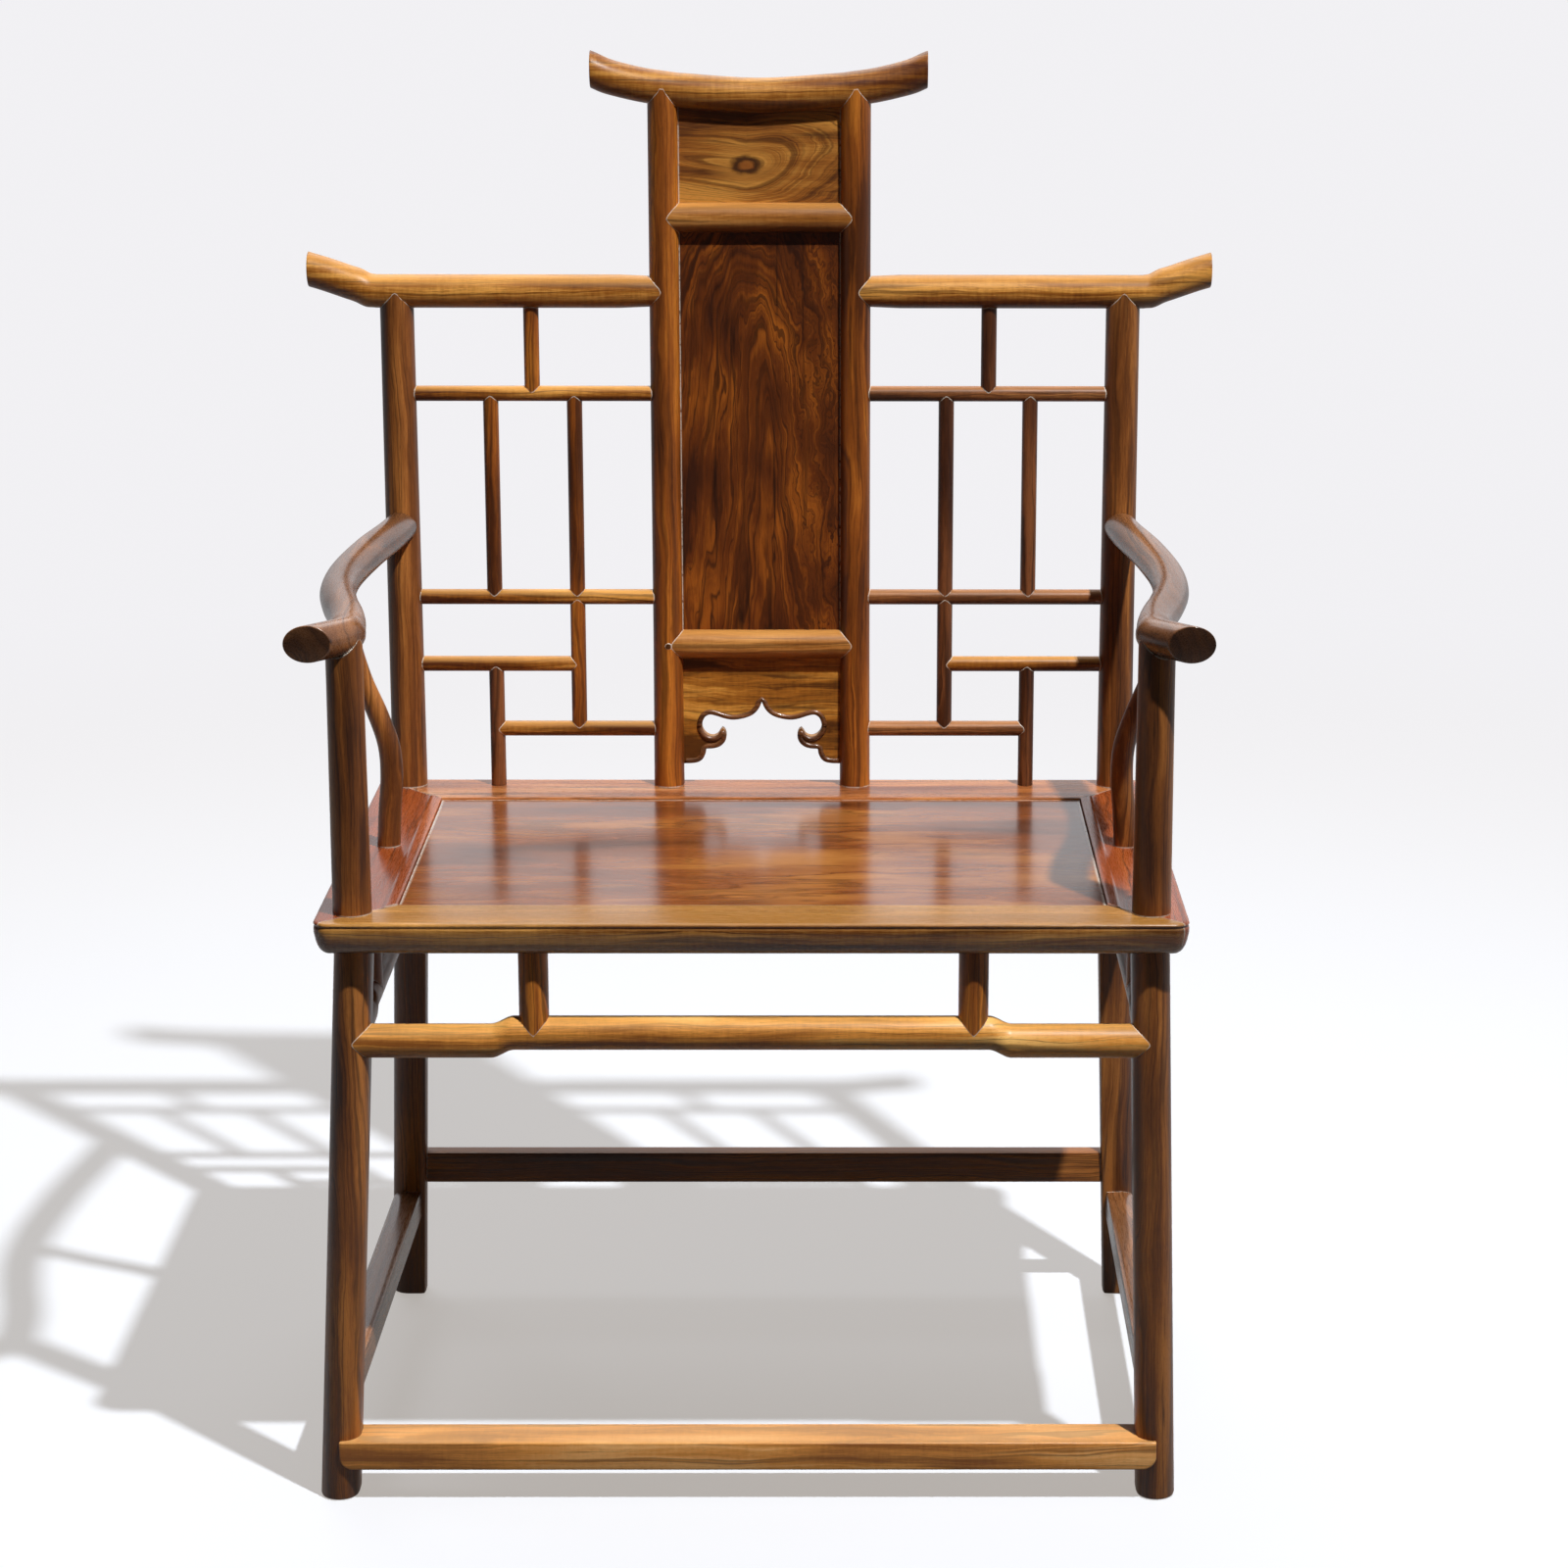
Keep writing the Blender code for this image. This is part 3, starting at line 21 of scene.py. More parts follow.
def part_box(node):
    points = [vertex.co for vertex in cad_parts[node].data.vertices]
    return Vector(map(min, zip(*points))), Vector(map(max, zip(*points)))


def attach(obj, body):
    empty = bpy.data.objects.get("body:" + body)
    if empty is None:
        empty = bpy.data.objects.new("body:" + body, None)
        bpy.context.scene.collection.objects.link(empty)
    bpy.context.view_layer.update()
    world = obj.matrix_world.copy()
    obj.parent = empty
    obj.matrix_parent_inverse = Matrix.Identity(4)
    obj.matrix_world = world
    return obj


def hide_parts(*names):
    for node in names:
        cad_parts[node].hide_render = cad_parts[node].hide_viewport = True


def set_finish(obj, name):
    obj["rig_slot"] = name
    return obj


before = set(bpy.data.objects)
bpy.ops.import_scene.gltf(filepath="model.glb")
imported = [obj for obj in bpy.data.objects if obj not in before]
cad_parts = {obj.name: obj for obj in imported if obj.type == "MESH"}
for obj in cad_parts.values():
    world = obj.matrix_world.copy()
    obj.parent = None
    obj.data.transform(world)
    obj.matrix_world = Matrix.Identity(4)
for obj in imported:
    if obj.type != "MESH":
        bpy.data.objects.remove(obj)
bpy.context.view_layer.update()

LOG = logging.getLogger("armchair")
BODY = "root"

X_AXIS = Vector((1, 0, 0))
Y_AXIS = Vector((0, 1, 0))
Z_AXIS = Vector((0, 0, 1))
SIDES = (("left", -1), ("right", 1))
MM = 0.001

ROUND_SIDES = 48
BAR_SIDES = 32
SPLINE_STEPS = 8
SMOOTH_ANGLE = math.radians(38)
SQUARED_POWER = 12

# Open seam in a joint, width of the dust beside it, and rim of a cut end, in metres.
SEAM = 0.00012
DUST_WIDTH = 0.0012
RIM = 0.0007

# Longest name of a material, and how far apart two neighbouring cuts lie in the log, in metres.
NAME_LIMIT = 60
CUT_STEP = 0.137

# Where in the log each kind of piece was cut. Pieces with other numbers have patterns of their own.
CUTS = {
    "crest": 1.0, "wings": 2.0, "centre_posts": 5.0, "cross_rails": 8.0, "upper_panel": 11.0,
    "main_panel": 12.0, "peg": 13.0, "apron": 15.0, "bead": 16.0, "lattice": 20.0, "arms": 41.0,
    "arm_struts": 44.0, "legs": 50.0, "seat_rails": 61.0, "seat_panel": 66.0, "battens": 68.0,
    "stretchers": 71.0, "foot_rest": 90.0,
}

Outline = list[tuple[float, float]]
Shares = tuple[tuple[float, float], ...]
Ring = list[Vector]
BMesh = bmesh.types.BMesh
Socket = bpy.types.NodeSocket
Inputs = dict[str | int, Any]

# A map range whose ends are soft.
SOFT = {"interpolation_type": "SMOOTHSTEP"}


def section(sides: int, square_x: int = 0, square_y: int = 0) -> Outline:
    """Draws the unit section of a stick.

    Args:
        sides: How many corners the section has.
        square_x: Side, -1 or 1, whose round is filled out to square corners; 0 leaves it round.
        square_y: Narrows the squared part to one quarter of the section; 0 squares both quarters.

    Returns:
        The corners, once round.
    """
    outline = []
    for step in range(sides):
        turn = 2 * math.pi * step / sides
        across, up = math.cos(turn), math.sin(turn)
        squared = square_x and across * square_x >= 0 and (not square_y or up * square_y >= 0)
        power = SQUARED_POWER if squared else 2
        reach = (abs(across) ** power + abs(up) ** power) ** (-1 / power)
        outline.append((across * reach, up * reach))
    return outline


ROUND = section(ROUND_SIDES)
SLIM_ROUND = section(BAR_SIDES)


def smooth_path(points: Sequence[Vector], steps: int = SPLINE_STEPS) -> list[Vector]:
    """Draws one smooth curve through the given points.

    Args:
        points: Places that the curve passes through.
        steps: Stretches between two of them.

    Returns:
        The points of the curve.
    """
    ends = [2 * points[0] - points[1], *points, 2 * points[-1] - points[-2]]
    path = []
    for before, start, end, after in zip(ends, ends[1:], ends[2:], ends[3:]):
        for step in range(steps):
            t = step / steps
            straight = 2 * start + (end - before) * t
            bend = (2 * before - 5 * start + 4 * end - after) * t**2
            twist = (3 * start - before - 3 * end + after) * t**3
            path.append((straight + bend + twist) / 2)
    path.append(points[-1].copy())
    return path


def ring_of(centre: Vector, facing: Vector, wide: float, tall: float, outline: Outline) -> Ring:
    """Places a section in the chair.

    Args:
        centre: Middle of the section.
        facing: Direction that the section is square to.
        wide: Half its level width.
        tall: Half its height.
        outline: The unit section.

    Returns:
        Its corners.
    """
    facing = facing.normalized()
    level = Z_AXIS.cross(facing)
    level = level.normalized() if level.length > MM else X_AXIS
    upright = facing.cross(level)
    return [centre + level * (wide * x) + upright * (tall * y) for x, y in outline]


def draw_out(rings: Sequence[Ring], dust: Sequence[float]) -> BMesh:
    """Extrudes a closed outline from ring to ring and closes both ends.

    Args:
        rings: Corners of each ring, in the same order in all of them.
        dust: How much dust has settled at each ring, from 0 to 1, or -1 for bare end grain.

    Returns:
        A closed mesh.
    """
    bm = bmesh.new()
    settled = bm.verts.layers.float.new("dust")
    ring = [bm.verts.new(place) for place in rings[0]]
    bm.faces.new(ring)
    for vert in ring:
        vert[settled] = dust[0]
    edges = list(bm.edges)
    for places, amount in zip(rings[1:], dust[1:]):
        made = bmesh.ops.extrude_edge_only(bm, edges=edges)["geom"]
        fresh = {item for item in made if isinstance(item, bmesh.types.BMVert)}
        edges = [item for item in made if isinstance(item, bmesh.types.BMEdge) and item.is_boundary]
        ring = [next(e.other_vert(v) for e in v.link_edges if e.other_vert(v) in fresh) for v in ring]
        for vert, place in zip(ring, places):
            vert.co = place
            vert[settled] = amount
    bmesh.ops.contextual_create(bm, geom=edges)
    bmesh.ops.recalc_face_normals(bm, faces=bm.faces)
    return bm


@dataclass(frozen=True)
class Trunk:
    """A straight stick that others are coped over.

    Attributes:
        foot: One end of its axis.
        head: The other end.
        foot_radius: Half its thickness at the foot.
        head_radius: Half its thickness at the head.
        inward: Side on which its section is squared, or None for a round one.
    """

    foot: Vector
    head: Vector
    foot_radius: float
    head_radius: float
    inward: Vector | None = None

    def place_at(self, share: float) -> Vector:
        """Gives a place on the axis, at a share of the way from foot to head."""
        return self.foot.lerp(self.head, share)

    def radius_at(self, share: float) -> float:
        """Gives half the thickness at a share of the way from foot to head."""
        return self.foot_radius + (self.head_radius - self.foot_radius) * share

    def meet(self, point: Vector, along: Vector) -> Vector:
        """Follows a line to the trunk's skin.

        Args:
            point: Start of the line.
            along: Its direction, of unit length.

        Returns:
            The place where the line first touches the trunk, short by a hair's seam.
        """
        whole = self.head - self.foot
        axis = whole.normalized()
        across = (point - self.foot) - axis * (point - self.foot).dot(axis)
        step = along - axis * along.dot(axis)
        nearest = -across.dot(step) / step.dot(step)
        place = point + along * nearest - self.foot
        share = place.dot(axis) / whole.length
        radius = self.radius_at(share) + SEAM
        side = place - axis * place.dot(axis)
        squared = self.inward is not None and side.dot(self.inward) > 0
        power = SQUARED_POWER if squared else 2
        depth = radius * max(1 - (side.length / radius) ** power, 0) ** (1 / power)
        return point + along * (nearest - depth / step.length)


@dataclass(frozen=True)
class Station:
    """One section on the way along a stick.

    Attributes:
        centre: Its middle.
        wide: Half its level width.
        tall: Half its height.
        outline: The unit section.
        facing: Direction that it is square to, or None for the way the axis runs there.
        dust: How much dust has settled on it, from 0 to 1.
    """

    centre: Vector
    wide: float
    tall: float
    outline: Outline
    facing: Vector | None = None
    dust: float = 0.0


@dataclass
class Stick:
    """A stick of wood: sections along an axis, with ends cut flat or coped over other sticks.

    Attributes:
        stations: The sections, at least three where both ends are coped.
        start_on: What the first end is coped over, or None for a flat cut.
        end_on: The same for the last end.
        start_ease: How far the rim of a flat first end is rounded over.
        end_ease: The same for the last end.
    """

    stations: list[Station]
    start_on: Trunk | None = None
    end_on: Trunk | None = None
    start_ease: float = 0.0
    end_ease: float = 0.0

    def ring(self, index: int) -> Ring:
        """Gives the corners of one section."""
        station = self.stations[index]
        before = self.stations[max(index - 1, 0)].centre
        after = self.stations[min(index + 1, len(self.stations) - 1)].centre
        facing = station.facing or after - before
        return ring_of(station.centre, facing, station.wide, station.tall, station.outline)

    @staticmethod
    def coped(end: Ring, inner: Ring, trunk: Trunk) -> list[tuple[Ring, float]]:
        """Draws the two rings of a coped end.

        Args:
            end: The section at the end of the axis.
            inner: The next section inwards.
            trunk: What the end is coped over.

        Returns:
            The rim on the trunk, where dust settles, and a clean ring a short way back.
        """
        rim, back = [], []
        for outer, start in zip(end, inner):
            along = (outer - start).normalized()
            hit = trunk.meet(start, along)
            rim.append(hit)
            back.append(hit - along * DUST_WIDTH)
        return [(rim, 1.0), (back, 0.0)]

    @staticmethod
    def rounded(end: Ring, inner: Ring, ease: float, dust: float) -> list[tuple[Ring, float]]:
        """Draws the rings that round over the rim of a flat end.

        Args:
            end: The section at the end.
            inner: The next section inwards.
            ease: Radius of the rim.
            dust: Dust on the rim.

        Returns:
            Rings from the flat end inwards, the first one marked -1 as end grain.
        """
        centre = sum(end, Vector()) / len(end)
        inwards = (sum(inner, Vector()) / len(inner) - centre).normalized()
        rings = []
        for degrees in (90, 60, 30, 0):
            turn = math.radians(degrees)
            shrink = ease * (1 - math.cos(turn))
            back = inwards * (ease * (1 - math.sin(turn)))
            amount = dust if degrees < 90 else -1.0
            rings.append(([p + (centre - p).normalized() * shrink + back for p in end], amount))
        return rings

    def build(self) -> BMesh:
        """Draws the closed mesh of the stick."""
        rings = [(self.ring(index), station.dust) for index, station in enumerate(self.stations)]
        plan = ((self.start_on, self.start_ease), (self.end_on, self.end_ease))
        for trunk, ease in plan:
            if trunk is not None:
                rings[:1] = self.coped(rings[0][0], rings[1][0], trunk)
            elif ease:
                rings[:1] = self.rounded(rings[0][0], rings[1][0], ease, rings[0][1])
            rings.reverse()
        return draw_out([ring for ring, _ in rings], [dust for _, dust in rings])


def straight_stick(
    start: Vector,
    end: Vector,
    half: float | tuple[float, float],
    outline: Outline,
    start_on: Trunk | None = None,
    end_on: Trunk | None = None,
) -> Stick:
    """Lays out a stick of one section between two points.

    Args:
        start: One end of its axis.
        end: The other end.
        half: Half its thickness, or half its width and half its height.
        outline: Its unit section.
        start_on: What the first end is coped over.
        end_on: What the last end is coped over.

    Returns:
        The stick.
    """
    wide, tall = half if isinstance(half, tuple) else (half, half)
    stations = [Station(start.lerp(end, share), wide, tall, outline) for share in (0, 0.5, 1)]
    return Stick(stations, start_on, end_on)


def upright_cuts(path: Sequence[Vector], radius: float) -> list[Station]:
    """Lays out a round rail that rises at its ends but is cut upright everywhere.

    Args:
        path: The rail's axis.
        radius: Its radius, square to the axis.

    Returns:
        Sections that are taller where the axis rises, so that the rail keeps its thickness.
    """
    stations = []
    for index, place in enumerate(path):
        along = (path[min(index + 1, len(path) - 1)] - path[max(index - 1, 0)]).normalized()
        level = X_AXIS if along.x > 0 else -X_AXIS
        stations.append(Station(place, radius, radius / along.dot(level), ROUND, level))
    return stations


def linear(colour: str) -> tuple[float, float, float, float]:
    """Turns an sRGB hex colour to the linear values that shaders take.

    Args:
        colour: Six hex digits after a #.

    Returns:
        Red, green, blue and an alpha of 1.
    """
    values = []
    for start in (1, 3, 5):
        share = int(colour[start : start + 2], 16) / 255
        values.append(share / 12.92 if share <= 0.04045 else ((share + 0.055) / 1.055) ** 2.4)
    return values[0], values[1], values[2], 1.0


def plug(node: bpy.types.Node, inputs: Inputs) -> None:
    """Sets or links some inputs of a node.

    Args:
        node: The node.
        inputs: A value or an output socket for each input, by name or number.
    """
    for key, value in inputs.items():
        if isinstance(value, Socket):
            node.id_data.links.new(value, node.inputs[key])
        else:
            node.inputs[key].default_value = value


def add_node(
    tree: bpy.types.NodeTree,
    kind: str,
    inputs: Inputs | None = None,
    out: str | int = 0,
    stops: Sequence[tuple[float, str]] = (),
    **settings: Any,
) -> Socket:
    """Adds a shader node with its settings and links.

    Args:
        tree: The node tree.
        kind: The node's type name, after "ShaderNode".
        inputs: A value or an output socket for each input, by name or number.
        out: Name or number of the output that is wanted.
        stops: Places and hex colours, for a colour ramp.
        settings: The node's own properties.

    Returns:
        That output.
    """
    node = tree.nodes.new(f"ShaderNode{kind}")
    for name, value in settings.items():
        setattr(node, name, value)
    plug(node, inputs or {})
    for index, (place, colour) in enumerate(stops):
        elements = node.color_ramp.elements
        element = elements[index] if index < 2 else elements.new(place)
        element.position = place
        element.color = linear(colour)
    return node.outputs[out]


def ranged(value: Socket, span: Sequence[float], shares: Sequence[float] = (0.0, 1.0)) -> Inputs:
    """Gives the inputs that map a range of values to another.

    Args:
        value: The value.
        span: The range that it lies in.
        shares: What both ends of the range become.

    Returns:
        The inputs by name.
    """
    return dict(zip(("Value", "From Min", "From Max", "To Min", "To Max"), (value, *span, *shares)))


class Grain(Enum):
    """How a piece was cut from the log: the axes that run along its grain, across its face and into it."""

    LEVEL = "XZY"
    DEEP = "YXZ"
    UPRIGHT = "ZXY"
    FLAT = "XYZ"


class Figure(Enum):
    """What the growth rings draw on a piece."""

    STRAIGHT = "straight"
    ARCHED = "arched"
    KNOT = "knot"


@dataclass(frozen=True)
class Layer:
    """A colour laid over the wood, whose share of the surface follows a value.

    Attributes:
        colour: Its hex colour.
        value: What it follows.
        span: The range of that value over which the share changes.
        shares: The share at both ends of the range and past them.
        within: Another share that it is multiplied by, or None.
        even: Whether the share changes evenly rather than softly.
    """

    colour: str
    value: Socket
    span: tuple[float, float]
    shares: tuple[float, float]
    within: Socket | None = None
    even: bool = False


@dataclass(frozen=True)
class WoodGraph:
    """The shader nodes of one piece of wood.

    Attributes:
        tree: The piece's node tree.
        place: Places in the log: along the grain, across the face, into the face.
        shift: Where in the log the piece lies, in metres.
    """

    tree: bpy.types.NodeTree
    place: Socket
    shift: float

    # How much further apart two pieces' patterns lie across and into the grain than along it, how far off
    # the middle of the face a pattern starts, in metres, and the weight of its finer octaves.
    APART = (7.3, 3.1)
    OFF_CENTRE = 0.01
    ROUGHNESS = 0.55

    def add(self, kind: str, inputs: Inputs, out: str | int = 0, **settings: Any) -> Socket:
        """Adds a node to the piece's tree and gives one of its outputs."""
        return add_node(self.tree, kind, inputs, out, **settings)

    def spots(self, vector: Socket, spots_mm: Sequence[float], detail: float) -> Socket:
        """Adds a pattern of soft spots.

        Args:
            vector: Where each point lies.
            spots_mm: Size of the spots along each axis.
            detail: Octaves of finer detail.

        Returns:
            Its value, around 0.5.
        """
        scale = tuple(1 / (spot * MM) for spot in spots_mm)
        across, into = self.APART
        moved = (self.shift * scale[0], self.shift * across + scale[1] * self.OFF_CENTRE, self.shift * into)
        spread = self.add("Mapping", {"Vector": vector, "Location": moved, "Scale": scale})
        settings = {"Vector": spread, "Scale": 1.0, "Detail": detail, "Roughness": self.ROUGHNESS}
        return self.add("TexNoise", settings)

    def grained(self, length_mm: float, width_mm: float, detail: float = 2) -> Socket:
        """Adds spots drawn out along the grain."""
        return self.spots(self.place, (length_mm, width_mm, width_mm), detail)

    def added(self, parts: Sequence[tuple[Socket, float | Socket]], offset: float | Socket = 0.0) -> Socket:
        """Adds values up.

        Args:
            parts: The values, each with its own weight.
            offset: What they are added to.

        Returns:
            The sum.
        """
        total: Any = offset
        for value, weight in parts:
            total = self.add("Math", {0: value, 1: weight, 2: total}, operation="MULTIPLY_ADD")
        return total

    def split(self) -> tuple[Socket, Socket, Socket]:
        """Gives a point's three places in the log, each on its own."""
        outputs = self.add("SeparateXYZ", {"Vector": self.place}).node.outputs
        return outputs[0], outputs[1], outputs[2]

    def painted(self, colour: Socket, layers: Sequence[Layer]) -> Socket:
        """Lays colours over the wood.

        Args:
            colour: The colour under them.
            layers: The layers, the lowest one first.

        Returns:
            The colour with them.
        """
        for layer in layers:
            inputs = ranged(layer.value, layer.span, layer.shares)
            share = self.add("MapRange", inputs, **({} if layer.even else SOFT))
            if layer.within is not None:
                share = self.add("Math", {0: layer.within, 1: share}, operation="MULTIPLY")
            mixed = {"Factor": share, 6: colour, 7: linear(layer.colour)}
            colour = self.add("Mix", mixed, 2, data_type="RGBA")
        return colour


@dataclass(frozen=True)
class Rosewood:
    """Rosewood, planed, scraped smooth and waxed: fine dark lines in a warm ground under a clear gloss.

    Attributes:
        name: Name of the tone.
        slot: Material slot of the record.
        pale: Ground colour in the lightest bands.
        mid: Middle of the ground.
        deep: Ground colour in the darkest bands.
        streak: Mineral lines and streaks, nearly black.
        ring_mm: Typical distance between two growth rings.
        warp_mm: How far the rings wander from straight.
        lines: Strength of the thin dark lines, from 0 to 1.
        streaks: Share of the surface in dark streaks, from 0 to 1.
        ripple: Strength of the cross-grain ripple, from 0 to 1.
        figure: What the rings draw.
        roughness: Dullness of the wax.
        coat: Strength of the clear polish over it.
        gloss: Specular level of the waxed wood itself.
        contrast: How far pale and deep bands differ.
        top_highlight: How far a painted highlight brightens what faces up.
        under_shade: How far painted shade darkens what faces down.
        zone_mm: Length and width of the lighter and darker patches.
    """

    name: str
    slot: str
    pale: str
    mid: str
    deep: str
    streak: str
    ring_mm: float = 6.0
    warp_mm: float = 5.0
    lines: float = 0.6
    streaks: float = 0.35
    ripple: float = 0.0
    figure: Figure = Figure.STRAIGHT
    roughness: float = 0.36
    coat: float = 0.0
    gloss: float = 0.35
    contrast: float = 1.0
    top_highlight: float = 0.35
    under_shade: float = 0.5
    zone_mm: tuple[float, float] = (240.0, 34.0)

    # Length and width of each pattern, in millimetres. Real fibres and pores are a tenth of a millimetre
    # wide, too fine for the render, so both are drawn as wide as a line that still shows.
    FIBRE_MM = (16.0, 0.75)
    PORE_MM = (7.0, 0.45)
    STREAK_MM = (170.0, 6.5)
    WANDER_MM = (190.0, 48.0)
    TREMBLE_MM = (45.0, 9.0)
    RIPPLE_MM = (3.2, 14.0, 14.0)
    SWIRL_MM = (34.0, 18.0)
    KNOT_GRAIN_MM = (7.0, 5.0, 5.0)
    DUST_MM = (4.0, 4.0, 4.0)
    # Width of the finer bands and of the dark lines, in shares of the growth rings', and lengths in metres.
    BAND_LENGTH, FINE_LENGTH, LINE_LENGTH = 0.45, 0.16, 0.7
    FINE_RING, LINE_RING = 0.24, 1.3
    # Weight of each pattern in the ground, and where the ramp from deep over mid to pale has its colours.
    BAND_WEIGHT, FINE_WEIGHT, FIBRE_WEIGHT, ZONE_WEIGHT, RIPPLE_WEIGHT = 1.15, 0.5, 0.45, 2.3, 0.55
    DEEP_AT, MID_AT, PALE_AT = 0.20, 0.50, 0.82
    # How far the piece lies from the heart of the log, across and into its face, in metres.
    FROM_HEART = (0.028, 0.02)
    # Eye of the knot, in metres: where its glow, its heart and its rim's two sides start and end, how uneven
    # it is, and how close to it the rings stop wandering. Then how strong the three are, and how flat it is.
    EYE_GLOW, EYE_HEART, RIM_INSIDE, RIM_OUTSIDE = (
        (0.00728, 0.0234), (0.00448, 0.01008), (0.003, 0.0056), (0.0056, 0.01064),
    )
    EYE_UNEVEN, KNOT_CALM = 0.004, 0.03
    GLOW_MOST, HEART_MOST, RIM_MOST = 0.45, 0.8, 0.85
    KNOT_FLAT = (0.58, 1.0, 0.4)
    HEART = "#8A4A1E"
    # How fast the rings open ahead of a figure's middle, behind it and into the face, how far they sag, lean
    # and swirl, how little a straight log tapers, and how much of their warp wanders and trembles.
    KNOT_AHEAD, KNOT_BEHIND, KNOT_SAG, KNOT_DEPTH = 0.42, 0.10, -0.12, 0.3
    ARCH_AHEAD, ARCH_BEHIND, ARCH_LEAN, ARCH_SWIRL, ARCH_DEPTH = 0.7, 0.15, 0.05, 1.6, 0.4
    TAPER, WANDER, TREMBLE = 0.015, 4, 0.9
    # Where each layer starts and ends, by the value that it follows, and how strong it is at the most. The
    # lines keep a part of their strength everywhere. The painted highlight and the painted shade follow how
    # far a face points up or down.
    LINE_SPAN, LINE_PATCHES, LINE_LEAST = (0.003, 0.05), (0.36, 0.60), 0.35
    STREAK_EDGE, STREAK_GAIN, STREAK_FADE, STREAK_MOST = 0.68, 0.2, 0.14, 0.75
    PORE_SPAN, PORE_MOST = (0.60, 0.72), 0.45
    WORN_SPAN, GRIME_SPAN, END_MOST = (0.15, 0.9), (-0.1, -0.8), 0.7
    DUST_SPAN, DUST_MOST = (0.25, 0.50), 0.95
    # Pale dust and old wax in the joints.
    DUST = "#E6DED0"
    # Relief of the fibres and the finer bands, its strength and its depth, and how fibres vary the dullness.
    FIBRE_RELIEF, FINE_RELIEF, RELIEF, RELIEF_DEPTH = 0.6, 0.4, 0.2, 0.05 * MM
    FIBRE_SPAN, SMOOTHER, DULLER = (0.3, 0.7), 0.04, 0.08

    def material(self, piece: str, grain: Grain, centre: Vector, cut: float) -> bpy.types.Material:
        """Makes the material of one piece.

        Args:
            piece: Name of the piece.
            grain: How it was cut.
            centre: The middle of its pattern.
            cut: Where in the log it comes from, which sets its pattern apart.

        Returns:
            The material.
        """
        material = bpy.data.materials.new(f"{self.name}_rosewood_{piece}"[:NAME_LIMIT])
        material.use_nodes = True
        tree = material.node_tree
        graph = WoodGraph(tree, self.log_place(tree, grain, centre), cut * CUT_STEP)
        reach = self.figure_reach(graph)
        fine = self.contours(graph, reach, self.ring_mm * self.FINE_RING, self.FINE_LENGTH, 2)
        fibre = graph.grained(*self.FIBRE_MM)
        zone = graph.grained(*self.zone_mm)
        colour = self.ground(graph, reach, fine, fibre, zone)
        colour = graph.painted(colour, self.markings(graph, reach, zone))
        # A painted highlight on top and painted shade below, then dark end grain and dust in the joints.
        colour = graph.painted(colour, self.shading_and_patina(graph))
        relief = graph.added(((fibre, self.FIBRE_RELIEF), (fine, self.FINE_RELIEF)))
        bump = {"Height": relief, "Strength": self.RELIEF, "Distance": self.RELIEF_DEPTH}
        dull = ranged(fibre, self.FIBRE_SPAN, (self.roughness - self.SMOOTHER, self.roughness + self.DULLER))
        surface = {
            "Base Color": colour,
            "Metallic": 0.0,
            "Roughness": graph.add("MapRange", dull, **SOFT),
            "IOR": 1.5,
            "Normal": graph.add("Bump", bump),
            "Specular IOR Level": self.gloss,
            "Coat Weight": self.coat,
            "Coat Roughness": 0.15,
        }
        plug(tree.nodes["Principled BSDF"], surface)
        return material

    def ground(self, graph: WoodGraph, reach: Socket, fine: Socket, fibre: Socket, zone: Socket) -> Socket:
        """Adds the ground colour, between deep, mid and pale.

        Args:
            graph: The piece's nodes.
            reach: Distance from the heart of the log.
            fine: The finer bands.
            fibre: The fibres.
            zone: The lighter and darker patches.

        Returns:
            The colour.
        """
        bands = self.contours(graph, reach, self.ring_mm, self.BAND_LENGTH, 3)
        parts = [(bands, self.BAND_WEIGHT), (fine, self.FINE_WEIGHT), (fibre, self.FIBRE_WEIGHT)]
        parts.append((zone, self.ZONE_WEIGHT))
        if self.ripple:
            parts.append((graph.spots(graph.place, self.RIPPLE_MM, 1), self.RIPPLE_WEIGHT * self.ripple))
        parts = [(value, weight * self.contrast) for value, weight in parts]
        level = graph.added(parts, 0.5 - sum(weight for _, weight in parts) / 2)
        stops = ((self.DEEP_AT, self.deep), (self.PALE_AT, self.pale), (self.MID_AT, self.mid))
        return graph.add("ValToRGB", {"Fac": level}, stops=stops)

    def markings(self, graph: WoodGraph, reach: Socket, zone: Socket) -> list[Layer]:
        """Lists what lies in the wood: dark lines, streaks, pores and the eye of a knot.

        Args:
            graph: The piece's nodes.
            reach: Distance from the heart of the log.
            zone: The lighter and darker patches. The lines are stronger in some than in others.

        Returns:
            The layers.
        """
        level = self.contours(graph, reach, self.ring_mm * self.LINE_RING, self.LINE_LENGTH, 1.5)
        near = graph.add("Math", {0: graph.added([(level, 1.0)], -0.5)}, operation="ABSOLUTE")
        line = graph.add("MapRange", ranged(near, self.LINE_SPAN, (self.lines, 0.0)), **SOFT)
        start = self.STREAK_EDGE - self.STREAK_GAIN * self.streaks
        edge = (start, start + self.STREAK_FADE)
        pores = graph.grained(*self.PORE_MM, 1)
        layers = [
            Layer(self.streak, zone, self.LINE_PATCHES, (self.LINE_LEAST, 1.0), line),
            Layer(self.streak, graph.grained(*self.STREAK_MM, 4), edge, (0.0, self.STREAK_MOST)),
            Layer(self.streak, pores, self.PORE_SPAN, (0.0, self.PORE_MOST * self.contrast)),
        ]
        return layers + (self.knot_eye(graph) if self.figure is Figure.KNOT else [])

